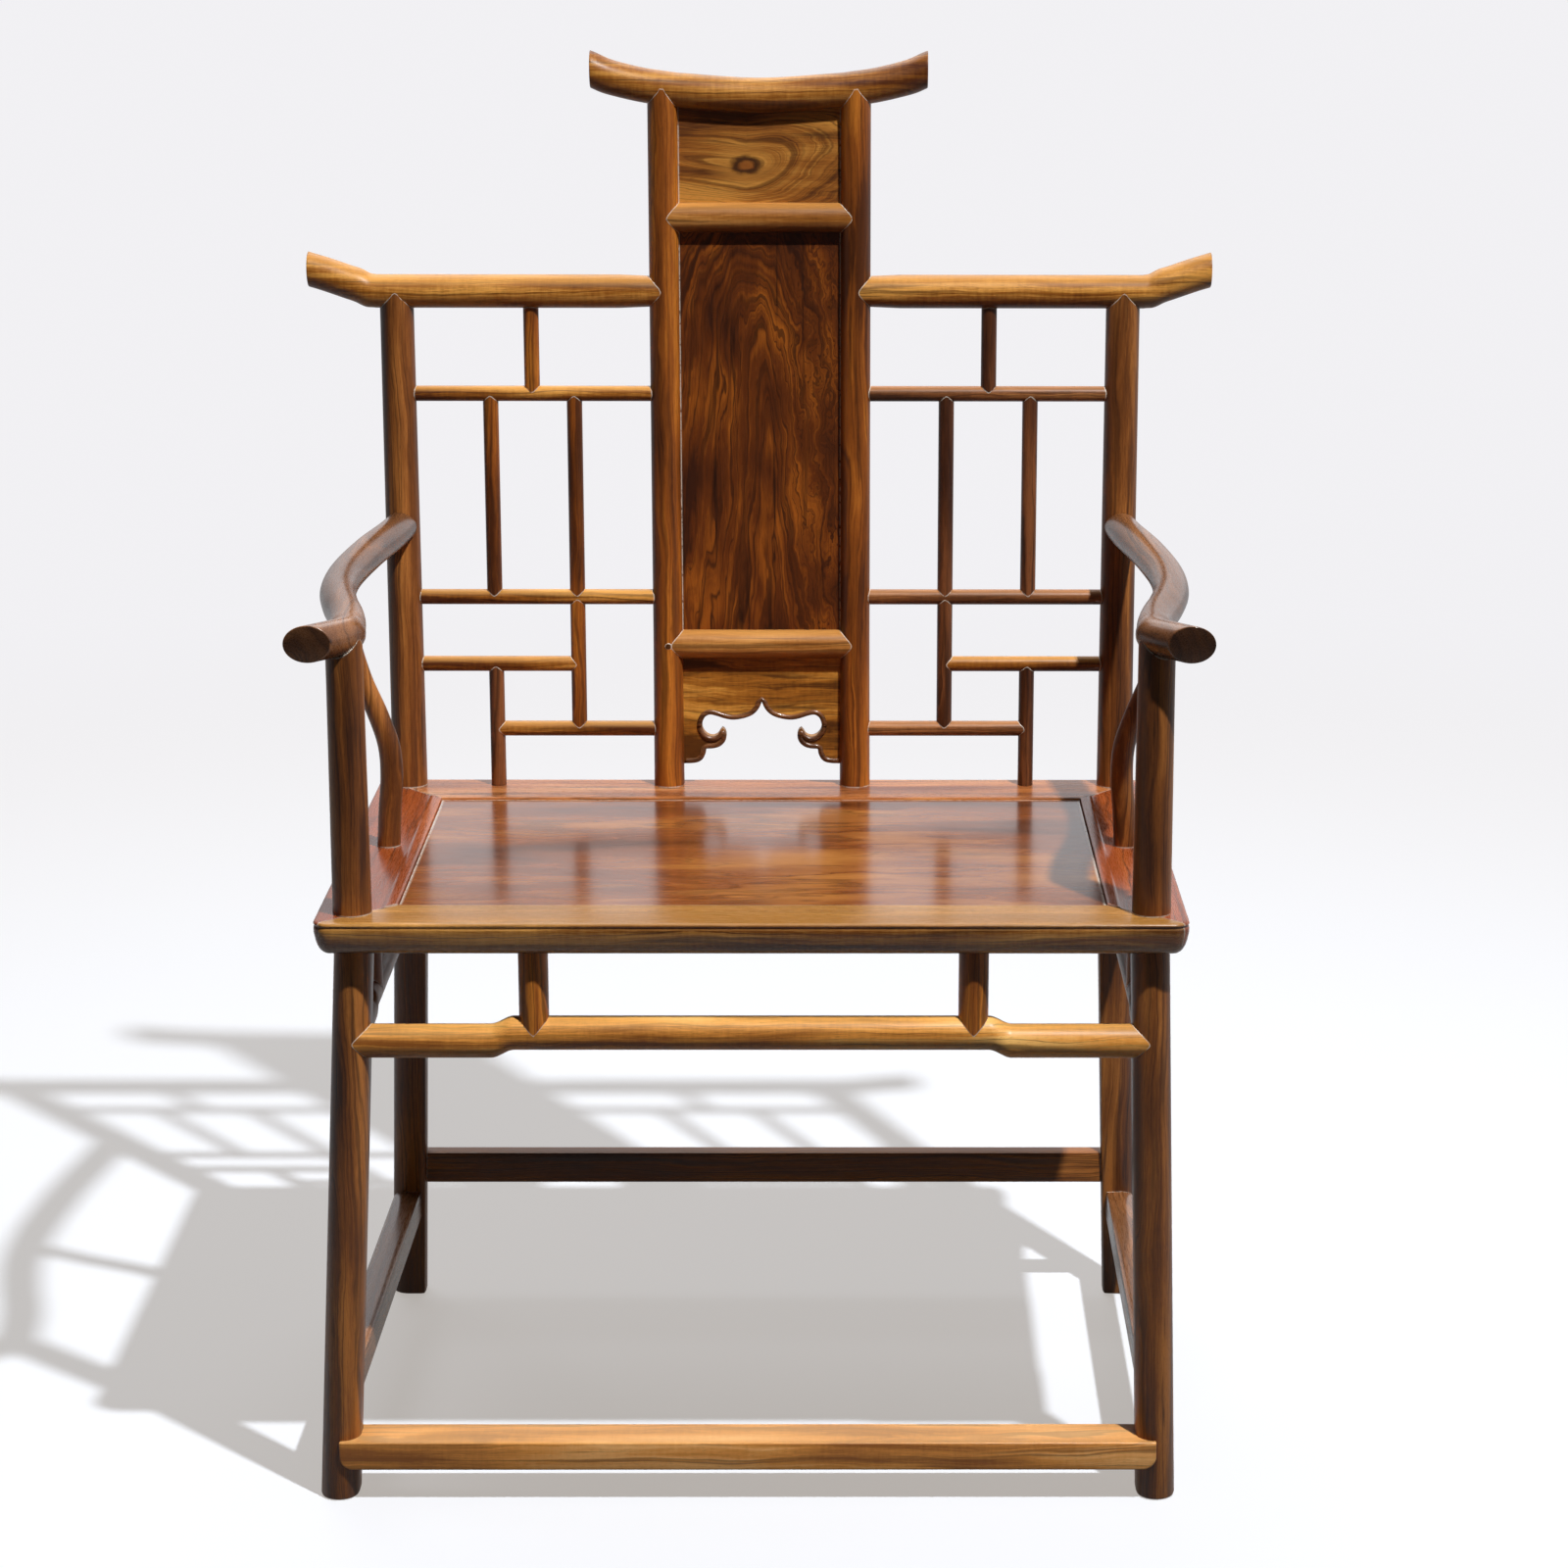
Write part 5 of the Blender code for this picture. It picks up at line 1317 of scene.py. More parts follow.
@dataclass
class Apron:
    """The apron under the back panel, with a scrolled opening and a bead along it.

    Attributes:
        seat_clearance: How far its foot hangs above the seat.
        top_edge: Height that the opening's shares are measured to.
        bead_inset: How far inside the opening's edge the middle of the bead runs.
        bead_sunk: How far behind the board's face it lies.
        bead_clear: Share of the inset below which the bead would run into itself.
        scroll: The opening's right half from its peak to the tip of the hook, in shares of width and height.
        hook: From there around the hook's inner side.
        scallop: From there down to the post.
    """

    seat_clearance: float = 0.0199
    top: float = 0.6229
    top_edge: float = 0.6189
    thickness: float = 0.009
    bead_radius: float = 0.0024
    bead_inset: float = 0.0025
    bead_sunk: float = 0.0005
    bead_clear: float = 0.97
    bead_sides: int = 14
    curve_steps: int = 5
    scroll: Shares = (
        (0.0, 0.585), (0.040, 0.520), (0.110, 0.466), (0.215, 0.432), (0.354, 0.415), (0.466, 0.425),
        (0.583, 0.452), (0.665, 0.463), (0.725, 0.440), (0.757, 0.392), (0.760, 0.337), (0.730, 0.294),
        (0.680, 0.265), (0.620, 0.257), (0.565, 0.274), (0.532, 0.308),
    )
    hook: Shares = (
        (0.503, 0.334), (0.470, 0.313), (0.452, 0.262), (0.474, 0.207), (0.535, 0.163), (0.620, 0.143),
        (0.712, 0.140),
    )
    scallop: Shares = (
        (0.720, 0.098), (0.752, 0.048), (0.805, 0.016), (0.885, 0.003), (1.0, 0.0),
    )

    def opening(self) -> list[Vector]:
        """Draws the right half of the opening's edge, from its peak to the post."""
        foot = SIZES.seat_top + self.seat_clearance
        height = self.top_edge - foot
        curve = []
        for shares in (self.scroll, self.hook, self.scallop):
            points = [Vector((SIZES.panel_half * across, 0, foot + height * up)) for across, up in shares]
            curve += smooth_path(points, self.curve_steps)
        return curve

    def build(self) -> BMesh:
        """Draws the board with its opening."""
        half = SIZES.panel_half + SIZES.panel_groove
        foot = SIZES.seat_top + self.seat_clearance
        right = [(p.x, p.z) for p in self.opening()]
        left = [(-x, z) for x, z in reversed(right[1:])]
        outline = [(half, self.top), (-half, self.top), (-half, foot), *left, *right, (half, foot)]
        return SIZES.panel(outline, self.thickness)

    def bead_path(self) -> list[Vector]:
        """Draws the middle of the bead: the opening's edge, moved into the board and cleared of loops."""
        edge = self.opening()
        edge = [Vector((-p.x, 0, p.z)) for p in reversed(edge[1:])] + edge
        moved = []
        for before, place, after in zip(edge, edge[1:], edge[2:]):
            along = (after - before).normalized()
            moved.append(place + Vector((-along.z, 0, along.x)) * self.bead_inset)
        limit = self.bead_inset * self.bead_clear
        kept = [p for p in moved if min((p - q).length for q in edge) > limit]
        y = SIZES.panel_y - self.thickness / 2 + self.bead_sunk
        return [Vector((p.x, y, p.z)) for p in kept]

    def bead(self) -> BMesh:
        """Draws the half-buried bead."""
        outline = section(self.bead_sides)
        half = self.bead_radius
        return Stick([Station(place, half, half, outline) for place in self.bead_path()]).build()

    def dress(self) -> None:
        """Puts the apron and its bead in the chair."""
        board = "apron_panel"
        piece = finish_piece(board, self.build(), MARBLED, Grain.LEVEL, CUTS["apron"])
        bead = link_mesh("apron_bead", self.bead())
        bead.data.shade_smooth()
        bead.data.materials.append(SATIN.material(bead.name, Grain.LEVEL, middle_of(board), CUTS["bead"]))
        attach(bead, BODY)
        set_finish(bead, piece["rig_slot"])
        LOG.info("%s: %d faces, %s", bead.name, len(bead.data.polygons), SATIN.name)


@dataclass
class Lattice:
    """Nine slim round bars on each side of the back, coped over one another.

    Attributes:
        offset: How far the outer and inner uprights stand from the middle one.
        cuts_apart: Steps in the log between two kinds of bar.
    """

    radius: float = 0.0069
    bottom: float = 0.553
    short: float = 0.6135
    middle: float = 0.6755
    top: float = 0.8607
    offset: float = 0.0375
    cuts_apart: int = 3

    def dress(self) -> None:
        """Puts all bars in the chair."""
        centre_x = (SIZES.leg_x + SIZES.centre_post_x) / 2
        outer, inner = centre_x + self.offset, centre_x - self.offset
        post, leg = SIZES.centre_post_x, SIZES.leg_x
        seat = SIZES.seat_top + SIZES.gap / 2
        plan = {
            "top_rail": ((post, self.top, "post"), (leg, self.top, "leg")),
            "middle_rail": ((post, self.middle, "post"), (leg, self.middle, "leg")),
            "short_rail": ((inner, self.short, "hanging_upright"), (leg, self.short, "leg")),
            "bottom_rail": ((post, self.bottom, "post"), (outer, self.bottom, "standing_upright")),
            "top_upright": ((centre_x, self.top, "top_rail"), (centre_x, SIZES.wing_height, "wing")),
            "outer_upright": ((outer, self.middle, "middle_rail"), (outer, self.top, "top_rail")),
            "inner_upright": ((inner, self.middle, "middle_rail"), (inner, self.top, "top_rail")),
            "hanging_upright": ((inner, self.bottom, "bottom_rail"), (inner, self.middle, "middle_rail")),
            "standing_upright": ((outer, seat, None), (outer, self.short, "short_rail")),
        }
        for label, side in SIDES:
            ends = {}
            for name, marks in plan.items():
                ends[name] = [Vector((side * x, SIZES.back_y, z)) for x, z, _ in marks]
            trunks = {name: Trunk(*pair, self.radius, self.radius) for name, pair in ends.items()}
            trunks["post"] = SIZES.centre_trunk(side)
            trunks["leg"] = SIZES.post_trunk(side, False)
            trunks["wing"] = WingRails.trunk(side)
            for cut, (name, marks) in zip(count(CUTS["lattice"] + side, self.cuts_apart), plan.items()):
                start, end = ends[name]
                on = [trunks[mark[2]] if mark[2] else None for mark in marks]
                stick = straight_stick(start, end, self.radius, SLIM_ROUND, *on)
                # On the right the uprights take the darker COCOA as painted shade, while those on the left
                # keep RUSSET.
                wood, grain = (RUSSET if side < 0 else COCOA), Grain.UPRIGHT
                if name == "standing_upright":
                    wood = COCOA
                if name.endswith("rail"):
                    wood, grain = (GOLDEN if side < 0 or name == "short_rail" else TANNED), Grain.LEVEL
                finish_piece(f"lattice_{name}_{label}", stick.build(), wood, grain, cut)


@dataclass
class Arms:
    """The arms, which swing out and in again and flare at their cut ends, and their gooseneck posts.

    Attributes:
        flare: How far out its cut end stands.
        tip_reach: How far ahead of the front post it ends.
        back_radius: Half its thickness at the back post.
        taper_share: Share of its way over which it grows to its full thickness.
        turn_run: The stretch at its end over which its sections turn to face the front.
        least_slant: Least cosine that a turned section is widened for.
        plan: Shares of the bow at shares of the way from the back post to the front one.
        lean: Shares of a gooseneck's way out to the arm at shares of its height.
    """

    bow: float = 0.025
    flare: float = 0.025
    tip_reach: float = 0.0330
    back_radius: float = 0.0140
    taper_share: float = 0.33
    turn_run: float = 0.030
    tip_ease: float = 0.0009
    least_slant: float = 0.6
    strut_x: float = 0.3175
    strut_base_y: float = -0.00175
    strut_top_y: float = -0.02175
    strut_base_radius: float = 0.0100
    strut_top_radius: float = 0.0088
    plan: Shares = (
        (0.0, 0.0), (0.113, 0.24), (0.28, 0.68), (0.48, 1.0), (0.634, 0.96), (0.75, 0.64), (0.84, 0.28),
        (0.91, 0.07), (0.957, 0.0), (1.0, 0.0),
    )
    lean: Shares = (
        (0.0, 0.0), (0.13, -0.06), (0.27, -0.15), (0.39, -0.10), (0.52, 0.20), (0.65, 0.58), (0.79, 0.85),
        (0.92, 0.97), (1.0, 1.0),
    )

    def path(self, side: int) -> list[Vector]:
        """Draws an arm's axis, with its radius as a fourth value, from the back post to the cut end."""
        points = []
        for share, bow in self.plan:
            y = SIZES.back_y + (SIZES.front_y - SIZES.back_y) * share
            z = SIZES.arm_back_height + (SIZES.arm_front_height - SIZES.arm_back_height) * share
            grown = min(share / self.taper_share, 1)
            radius = self.back_radius + (SIZES.arm_radius - self.back_radius) * grown
            points.append(Vector((side * (SIZES.leg_x + self.bow * bow), y, z, radius)))
        tip = (side * (SIZES.leg_x + self.flare), SIZES.front_y - self.tip_reach, SIZES.arm_front_height)
        points.append(Vector((*tip, SIZES.arm_radius)))
        return smooth_path(points)

    def trunk(self, side: int, y: float) -> Trunk:
        """Gives an arm near a place, as a trunk for the post under it."""
        path = self.path(side)
        nearest = min(range(1, len(path) - 1), key=lambda index: abs(path[index].y - y))
        before, after = path[nearest - 1], path[nearest + 1]
        return Trunk(before.xyz, after.xyz, before.w, after.w)

    def arm(self, side: int) -> BMesh:
        """Draws an arm. Its last sections turn until the end is cut upright, facing the front."""
        path = self.path(side)
        tip_y = path[-1].y
        stations = []
        for index, place in enumerate(path):
            before, after = path[max(index - 1, 0)].xyz, path[min(index + 1, len(path) - 1)].xyz
            along = (after - before).normalized()
            turn = min(max(1 - (place.y - tip_y) / self.turn_run, 0), 1)
            facing = along.lerp(-Y_AXIS, turn).normalized()
            wide = place.w / max(facing.dot(along), self.least_slant)
            stations.append(Station(place.xyz, wide, place.w, ROUND, facing))
        return Stick(stations, start_on=SIZES.post_trunk(side, False), end_ease=self.tip_ease).build()

    def strut(self, side: int) -> BMesh:
        """Draws a gooseneck post, from the side of the seat to the arm."""
        path = self.path(side)
        nearest = min(path, key=lambda place: abs(place.y - self.strut_top_y))
        top = Vector((nearest.x, self.strut_top_y, nearest.z))
        base = Vector((side * self.strut_x, self.strut_base_y, SIZES.seat_top + SIZES.gap / 2))
        points = []
        for rise, lean in self.lean:
            place = base.lerp(top, rise)
            place.x = base.x + (top.x - base.x) * lean
            radius = self.strut_base_radius + (self.strut_top_radius - self.strut_base_radius) * rise
            points.append(Vector((*place, radius)))
        stations = [Station(p.xyz, p.w, p.w, SLIM_ROUND, Z_AXIS) for p in smooth_path(points)]
        half = self.strut_base_radius
        foot = [
            Station(base + Z_AXIS * rise, half, half, SLIM_ROUND, Z_AXIS, dust)
            for rise, dust in ((0.0, 1.0), (DUST_WIDTH, 0.0))
        ]
        return Stick([*foot, *stations[1:]], end_on=self.trunk(side, self.strut_top_y)).build()

    def dress(self) -> None:
        """Puts both arms and their posts in the chair."""
        for label, side in SIDES:
            finish_piece(f"arm_{label}", self.arm(side), SATIN, Grain.DEEP, CUTS["arms"] + side)
            cut = CUTS["arm_struts"] + side
            finish_piece(f"arm_strut_{label}", self.strut(side), UMBER, Grain.UPRIGHT, cut)


@dataclass
class Legs:
    """Four one-piece legs, squared towards the middle below the seat and round above it.

    Attributes:
        foot_ease: Height of the eased rim of a foot.
        first_ease: Share of that height at which the rim's first facet ends.
    """

    arms: Arms
    neck_radius: float = 0.010
    foot_ease: float = 0.0028
    first_ease: float = 0.3

    def build(self, side: int, front: bool) -> BMesh:
        """Draws one leg, from the floor to the arm or the wing rail.

        Args:
            side: Side of the chair, -1 or 1.
            front: Whether it is a front leg.

        Returns:
            The leg, squared inside as far as the shoulder under the seat, with a neck in the seat frame.
        """
        outline = section(ROUND_SIDES, -side, 1 if front else -1)
        trunk, post = SIZES.leg_trunk(side, front), SIZES.post_trunk(side, front)
        first = self.foot_ease * self.first_ease
        shoulder, base = SIZES.seat_bottom - SIZES.gap / 2, SIZES.seat_top + SIZES.gap / 2
        below = ((0.0, self.foot_ease), (first, first), (self.foot_ease, 0.0), (shoulder - DUST_WIDTH, 0.0))
        above = (
            (shoulder, self.neck_radius, 0.0),
            (base, self.neck_radius, 0.0),
            (base, SIZES.post_radius, 1.0),
            (base + DUST_WIDTH, SIZES.post_radius, 0.0),
            (post.head.z, post.head_radius, 0.0),
            (SIZES.arm_front_height if front else SIZES.wing_height, post.head_radius, 0.0),
        )
        stations = []
        for height, shrink in (*below, (shoulder, 0.0)):
            share = height / SIZES.seat_bottom
            radius = trunk.radius_at(share) - shrink
            stations.append(Station(trunk.place_at(share), radius, radius, outline, Z_AXIS))
        for height, radius, dust in above:
            centre = Vector((post.foot.x, post.foot.y, height))
            stations.append(Station(centre, radius, radius, ROUND, Z_AXIS, dust))
        over = self.arms.trunk(side, SIZES.front_y) if front else WingRails.trunk(side)
        return Stick(stations, end_on=over).build()

    def dress(self) -> None:
        """Puts all four legs in the chair."""
        for front, word, start in ((True, "front", CUTS["legs"] + 3), (False, "rear", CUTS["legs"])):
            for label, side in SIDES:
                cut = start + side
                finish_piece(f"{word}_leg_{label}", self.build(side, front), UMBER, Grain.UPRIGHT, cut)


@dataclass
class SeatFrame:
    """The four mitred rails of the seat, with their moulded edge and the bead around the panel.

    Attributes:
        bead_width: From the panel to the foot of the bead's outer slope.
        panel_below_top: How far the panel lies below the top of the rails.
        panel_ease: Rim of the panel.
        mitre_dust: Dust in the mitres, less than in other joints.
        merge: Corners that lie closer than this become one.
        edge_profile_mm: Distance in from the outer edge, and down from the seat's top, in millimetres.
        bead_profile: Shares of the bead's width and height.
    """

    corner_radius: float = 0.014
    front_width: float = 0.055
    back_width: float = 0.075
    side_width: float = 0.06325
    bead_width: float = 0.011
    bead_height: float = 0.0012
    groove_depth: float = 0.006
    groove_below_top: float = 0.009
    groove_height: float = 0.005
    panel_seam: float = 0.0008
    panel_below_top: float = 0.0008
    panel_ease: float = 0.0005
    mitre_dust: float = 0.6
    merge: float = 0.00002
    corner_steps: int = 12
    edge_profile_mm: Shares = (
        (5.0, 0.0), (2.6, 0.25), (1.2, 0.8), (0.4, 1.6), (0.2, 2.4), (0.5, 2.9), (1.2, 3.2), (1.4, 3.8),
        (1.2, 4.5), (0.6, 5.2), (0.3, 6.6), (0.3, 9.5), (1.0, 13.0), (1.7, 16.5), (2.8, 20.0), (4.3, 23.0),
        (6.2, 25.4), (8.5, 27.0), (11.5, 27.5),
    )
    bead_profile: Shares = (
        (0.0, 0.0), (0.02, 0.6), (0.10, 0.95), (0.2, 1.0), (0.70, 1.0), (0.84, 0.8), (0.93, 0.3), (1.0, 0.0),
    )

    def opening_corner(self, corner_x: int, corner_y: int) -> Vector:
        """Gives a corner of the opening that the panel fills."""
        half = SIZES.seat_depth / 2
        x = corner_x * (SIZES.seat_width / 2 - self.side_width)
        y = half - self.back_width if corner_y > 0 else self.front_width - half
        return Vector((x, SIZES.seat_middle_y + y, SIZES.seat_top))

    def edge_point(self, corner_x: int, corner_y: int, inset: float, turn: float) -> tuple[float, float]:
        """Gives a point of the seat's rounded outer corner.

        Args:
            corner_x: Side of the corner.
            corner_y: Front or back.
            inset: Distance in from the edge.
            turn: How far round the corner.

        Returns:
            Its place across and along the seat.
        """
        radius = max(self.corner_radius - inset, 0)
        reach = max(inset, self.corner_radius)
        x = corner_x * (SIZES.seat_width / 2 - reach + radius * math.cos(turn))
        y = SIZES.seat_middle_y + corner_y * (SIZES.seat_depth / 2 - reach + radius * math.sin(turn))
        return x, y

    def loop(self, corner_x: int, corner_y: int, turn: float, beaded: bool) -> Ring:
        """Draws the rails' section at a corner.

        Args:
            corner_x: Side of the corner.
            corner_y: Front or back.
            turn: How far round the corner.
            beaded: Whether the inner edge carries the bead.

        Returns:
            The section's corners.
        """
        ring = []
        for inset, down in self.edge_profile_mm:
            x, y = self.edge_point(corner_x, corner_y, inset * MM, turn)
            ring.append(Vector((x, y, SIZES.seat_top - down * MM)))
        groove_floor = -self.groove_below_top - self.groove_height
        inside = [
            (0, -SIZES.seat_thickness),
            (0, groove_floor),
            (self.groove_depth, groove_floor),
            (self.groove_depth, -self.groove_below_top),
            (0, -self.groove_below_top),
        ]
        height = self.bead_height if beaded else 0
        inside += [(self.bead_width * across, height * up) for across, up in self.bead_profile]
        corner = self.opening_corner(corner_x, corner_y)
        for outward, up in inside:
            ring.append(corner + Vector((corner_x * outward, corner_y * outward, up)))
        return ring

    def rail(self, corners: Sequence[tuple[int, int]], keep: Vector, beaded: bool) -> BMesh:
        """Draws one rail, from one corner to the next, cut to its two mitres.

        Args:
            corners: The two corners, as signs of x and y.
            keep: A point of the rail, which tells the cuts what to keep.
            beaded: Whether the rail's inner edge carries the bead.

        Returns:
            The rail.
        """
        rings = []
        for corner_x, corner_y in corners:
            turns = [math.pi / 2 * step / self.corner_steps for step in range(self.corner_steps + 1)]
            if corner_x * corner_y < 0:
                turns.reverse()
            rings += [self.loop(corner_x, corner_y, turn, beaded) for turn in turns]
        bm = draw_out(rings, [0.0] * len(rings))
        caps = [face for face in bm.faces if len(face.verts) > 4]
        bmesh.ops.delete(bm, geom=caps, context="FACES_ONLY")
        bmesh.ops.remove_doubles(bm, verts=bm.verts, dist=self.merge)
        settled = bm.verts.layers.float["dust"]
        for corner_x, corner_y in corners:
            reach_x, reach_y = corner_x * SIZES.seat_width / 2, corner_y * SIZES.seat_depth / 2
            outer = Vector((reach_x, SIZES.seat_middle_y + reach_y, SIZES.seat_top))
            normal = (outer - self.opening_corner(corner_x, corner_y)).cross(Z_AXIS).normalized()
            if (keep - outer).dot(normal) > 0:
                normal.negate()
            for back, clear in ((DUST_WIDTH, False), (0.0, True)):
                place = outer - normal * (SEAM + back)
                geometry = [*bm.verts, *bm.edges, *bm.faces]
                bmesh.ops.bisect_plane(bm, geom=geometry, plane_co=place, plane_no=normal, clear_outer=clear)
            for vert in bm.verts:
                if (vert.co - outer).dot(normal) > -SEAM * 2:
                    vert[settled] = self.mitre_dust
        bmesh.ops.remove_doubles(bm, verts=bm.verts, dist=self.merge / 2)
        bmesh.ops.edgeloop_fill(bm, edges=[edge for edge in bm.edges if edge.is_boundary])
        bmesh.ops.recalc_face_normals(bm, faces=bm.faces)
        return bm

    def panel(self) -> BMesh:
        """Draws the floating seat panel, with dust in the seam around it."""
        low, high = self.opening_corner(-1, -1), self.opening_corner(1, 1)
        middle = (low + high) / 2
        half = Vector(((high.x - low.x) / 2, (high.y - low.y) / 2))
        reach = self.groove_depth - 2 * SIZES.gap
        top = SIZES.seat_top - self.panel_below_top
        shoulder = SIZES.seat_top - self.groove_below_top - SIZES.gap
        bottom = SIZES.seat_top - self.groove_below_top - self.groove_height + SIZES.gap
        seam, rim = -self.panel_seam, -self.panel_seam - self.panel_ease
        levels = (
            (bottom, reach, 0.0),
            (shoulder, reach, 0.0),
            (shoulder, seam, 1.0),
            (top - self.panel_ease, seam, 1.0),
            (top, rim, 1.0),
            (top, rim - DUST_WIDTH * 2, 0.0),
        )
        square = [(1, 1), (-1, 1), (-1, -1), (1, -1)]
        rings = []
        for height, grow, _ in levels:
            centre = Vector((middle.x, middle.y, height))
            rings.append(ring_of(centre, Z_AXIS, half.x + grow, half.y + grow, square))
        return draw_out(rings, [dust for _, _, dust in levels])

    def dress(self) -> None:
        """Puts the seat in the chair."""
        plan = (
            ("seat_front_rail", ((-1, -1), (1, -1)), -Y_AXIS, False, OLIVE, Grain.FLAT),
            ("seat_back_rail", ((1, 1), (-1, 1)), Y_AXIS, True, BLUSH, Grain.FLAT),
            ("seat_left_rail", ((-1, 1), (-1, -1)), -X_AXIS, True, CINNABAR, Grain.DEEP),
            ("seat_right_rail", ((1, -1), (1, 1)), X_AXIS, True, CINNABAR, Grain.DEEP),
        )
        across = (SIZES.seat_width - self.side_width) / 2
        deep = (SIZES.seat_depth - self.front_width) / 2
        for cut, (node, corners, out, beaded, wood, grain) in zip(count(CUTS["seat_rails"]), plan):
            keep = Vector((out.x * across, SIZES.seat_middle_y + out.y * deep, SIZES.seat_bottom))
            finish_piece(node, self.rail(corners, keep, beaded), wood, grain, cut)
        finish_piece("seat_panel", self.panel(), BOARD, Grain.FLAT, CUTS["seat_panel"])
        for cut, (label, _) in zip(count(CUTS["battens"]), SIDES):
            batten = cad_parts[f"seat_batten_{label}"]
            batten.data.materials.clear()
            batten.data.materials.append(UMBER.material(batten.name, Grain.DEEP, middle_of(batten.name), cut))


@dataclass
class Stretchers:
    """Humpback stretchers with their short struts, and the lower stretchers in rising steps.

    Attributes:
        hump_height: Height of a humpback stretcher's axis at its ends.
        hump_rise: How far its middle is raised.
        strut_radius: Half a strut's thickness along its stretcher.
        strut_depth: Half its thickness across it.
        strut_shift: How far the front and rear struts stand to the right of the middle of their stretchers.
        step_start: Share of the way from the middle to the end at which the hump starts to fall.
        step_end: Share at which it has fallen.
        side_half: Half the width and half the height of a side stretcher.
        rear_half: The same for the rear one.
    """

    hump_height: float = 0.3927
    hump_rise: float = 0.0068
    hump_radius: float = 0.0140
    strut_radius: float = 0.0122
    strut_depth: float = 0.0141
    strut_shift: float = 0.0020
    front_spacing: float = 0.357
    side_spacing: float = 0.200
    step_start: float = 0.592
    step_end: float = 0.650
    step_cuts: int = 12
    side_height: float = 0.0915
    side_half: tuple[float, float] = (0.0140, 0.0135)
    rear_height: float = 0.1270
    rear_half: tuple[float, float] = (0.0130, 0.0152)

    def ends(self, word: str, height: float, half: float) -> tuple[list[Vector], list[Trunk]]:
        """Finds where a stretcher's axis meets its two legs, with its outer face flush with theirs.

        Args:
            word: Side of the chair: front, rear, left or right.
            height: Height of the stretcher's axis.
            half: Half the stretcher's width.

        Returns:
            The two ends of the axis, and the two legs.
        """
        if word in ("front", "rear"):
            legs = [(side, word == "front") for _, side in SIDES]
        else:
            legs = [(dict(SIDES)[word], True), (dict(SIDES)[word], False)]
        share = height / SIZES.seat_bottom
        places, trunks = [], []
        for side, front in legs:
            trunk = SIZES.leg_trunk(side, front)
            out = Y_AXIS * (-1 if front else 1) if word in ("front", "rear") else X_AXIS * side
            places.append(trunk.place_at(share) + out * (trunk.radius_at(share) - half))
            trunks.append(trunk)
        return places, trunks

    def lift(self, share: float) -> float:
        """Gives the hump's rise at a share of the way from the middle to the end, in one soft step."""
        t = min(max((self.step_end - share) / (self.step_end - self.step_start), 0), 1)
        return self.hump_rise * t * t * (3 - 2 * t)

    def hump(self, word: str) -> tuple[BMesh, Vector, Vector]:
        """Draws a humpback stretcher.

        Args:
            word: Side of the chair.

        Returns:
            Its mesh and the two ends of its axis.
        """
        (start, end), trunks = self.ends(word, self.hump_height, self.hump_radius)
        along = (end - start).normalized()
        step = (self.step_end - self.step_start) / self.step_cuts
        bend = [self.step_start + step * index for index in range(self.step_cuts + 1)]
        stations = []
        for share in (-1, *(-share for share in reversed(bend)), *bend, 1):
            centre = (start + end) / 2 + (end - start) * share / 2 + Z_AXIS * self.lift(abs(share))
            stations.append(Station(centre, self.hump_radius, self.hump_radius, ROUND, along))
        return Stick(stations, *trunks).build(), start, end

    def dress_humpback(self, word: str, cuts: Iterator[float]) -> None:
        """Puts one humpback stretcher and its two struts in the chair.

        Args:
            word: Side of the chair.
            cuts: Where in the log the next pieces come from.
        """
        level = word in ("front", "rear")
        bm, start, end = self.hump(word)
        wood, grain = (AMBER, Grain.LEVEL) if level else (UMBER, Grain.DEEP)
        finish_piece(f"{word}_humpback_stretcher", bm, wood, grain, next(cuts))
        along = (end - start).normalized()
        middle = (start + end) / 2 + Z_AXIS * self.hump_rise
        trunk = Trunk(middle - along, middle + along, self.hump_radius, self.hump_radius)
        spacing = self.front_spacing if level else self.side_spacing
        labels = ("left", "right") if level else ("front", "rear")
        half = (self.strut_radius, self.strut_depth) if level else (self.strut_depth, self.strut_radius)
        for label, step in zip(labels, (-1, 1)):
            foot = middle + along * step * spacing / 2 + X_AXIS * (self.strut_shift if level else 0)
            head = Vector((foot.x, foot.y, SIZES.seat_bottom - SIZES.gap / 2))
            stick = straight_stick(foot, head, half, SLIM_ROUND, trunk)
            finish_piece(f"{word}_strut_{label}", stick.build(), RUSSET, Grain.UPRIGHT, next(cuts))

    def dress_lower(self, word: str, cut: float) -> None:
        """Puts one lower stretcher in the chair, round outside and squared inside.

        Args:
            word: Side of the chair.
            cut: Where in the log it comes from.
        """
        if word == "rear":
            node, wood, grain = "rear_lower_stretcher", UMBER, Grain.LEVEL
            height, half, inward = self.rear_height, self.rear_half, -Y_AXIS
        else:
            node, wood, grain = f"side_lower_stretcher_{word}", SATIN, Grain.DEEP
            height, half, inward = self.side_height, self.side_half, -X_AXIS * dict(SIDES)[word]
        places, trunks = self.ends(word, height, half[0])
        inner = 1 if Z_AXIS.cross(places[1] - places[0]).dot(inward) > 0 else -1
        stick = straight_stick(*places, half, section(ROUND_SIDES, inner), *trunks)
        finish_piece(node, stick.build(), wood, grain, cut)

    def dress(self) -> None:
        """Puts all stretchers and struts in the chair."""
        cuts = count(CUTS["stretchers"])
        for word in ("front", "rear", "left", "right"):
            self.dress_humpback(word, cuts)
        for word in ("left", "right", "rear"):
            self.dress_lower(word, next(cuts))


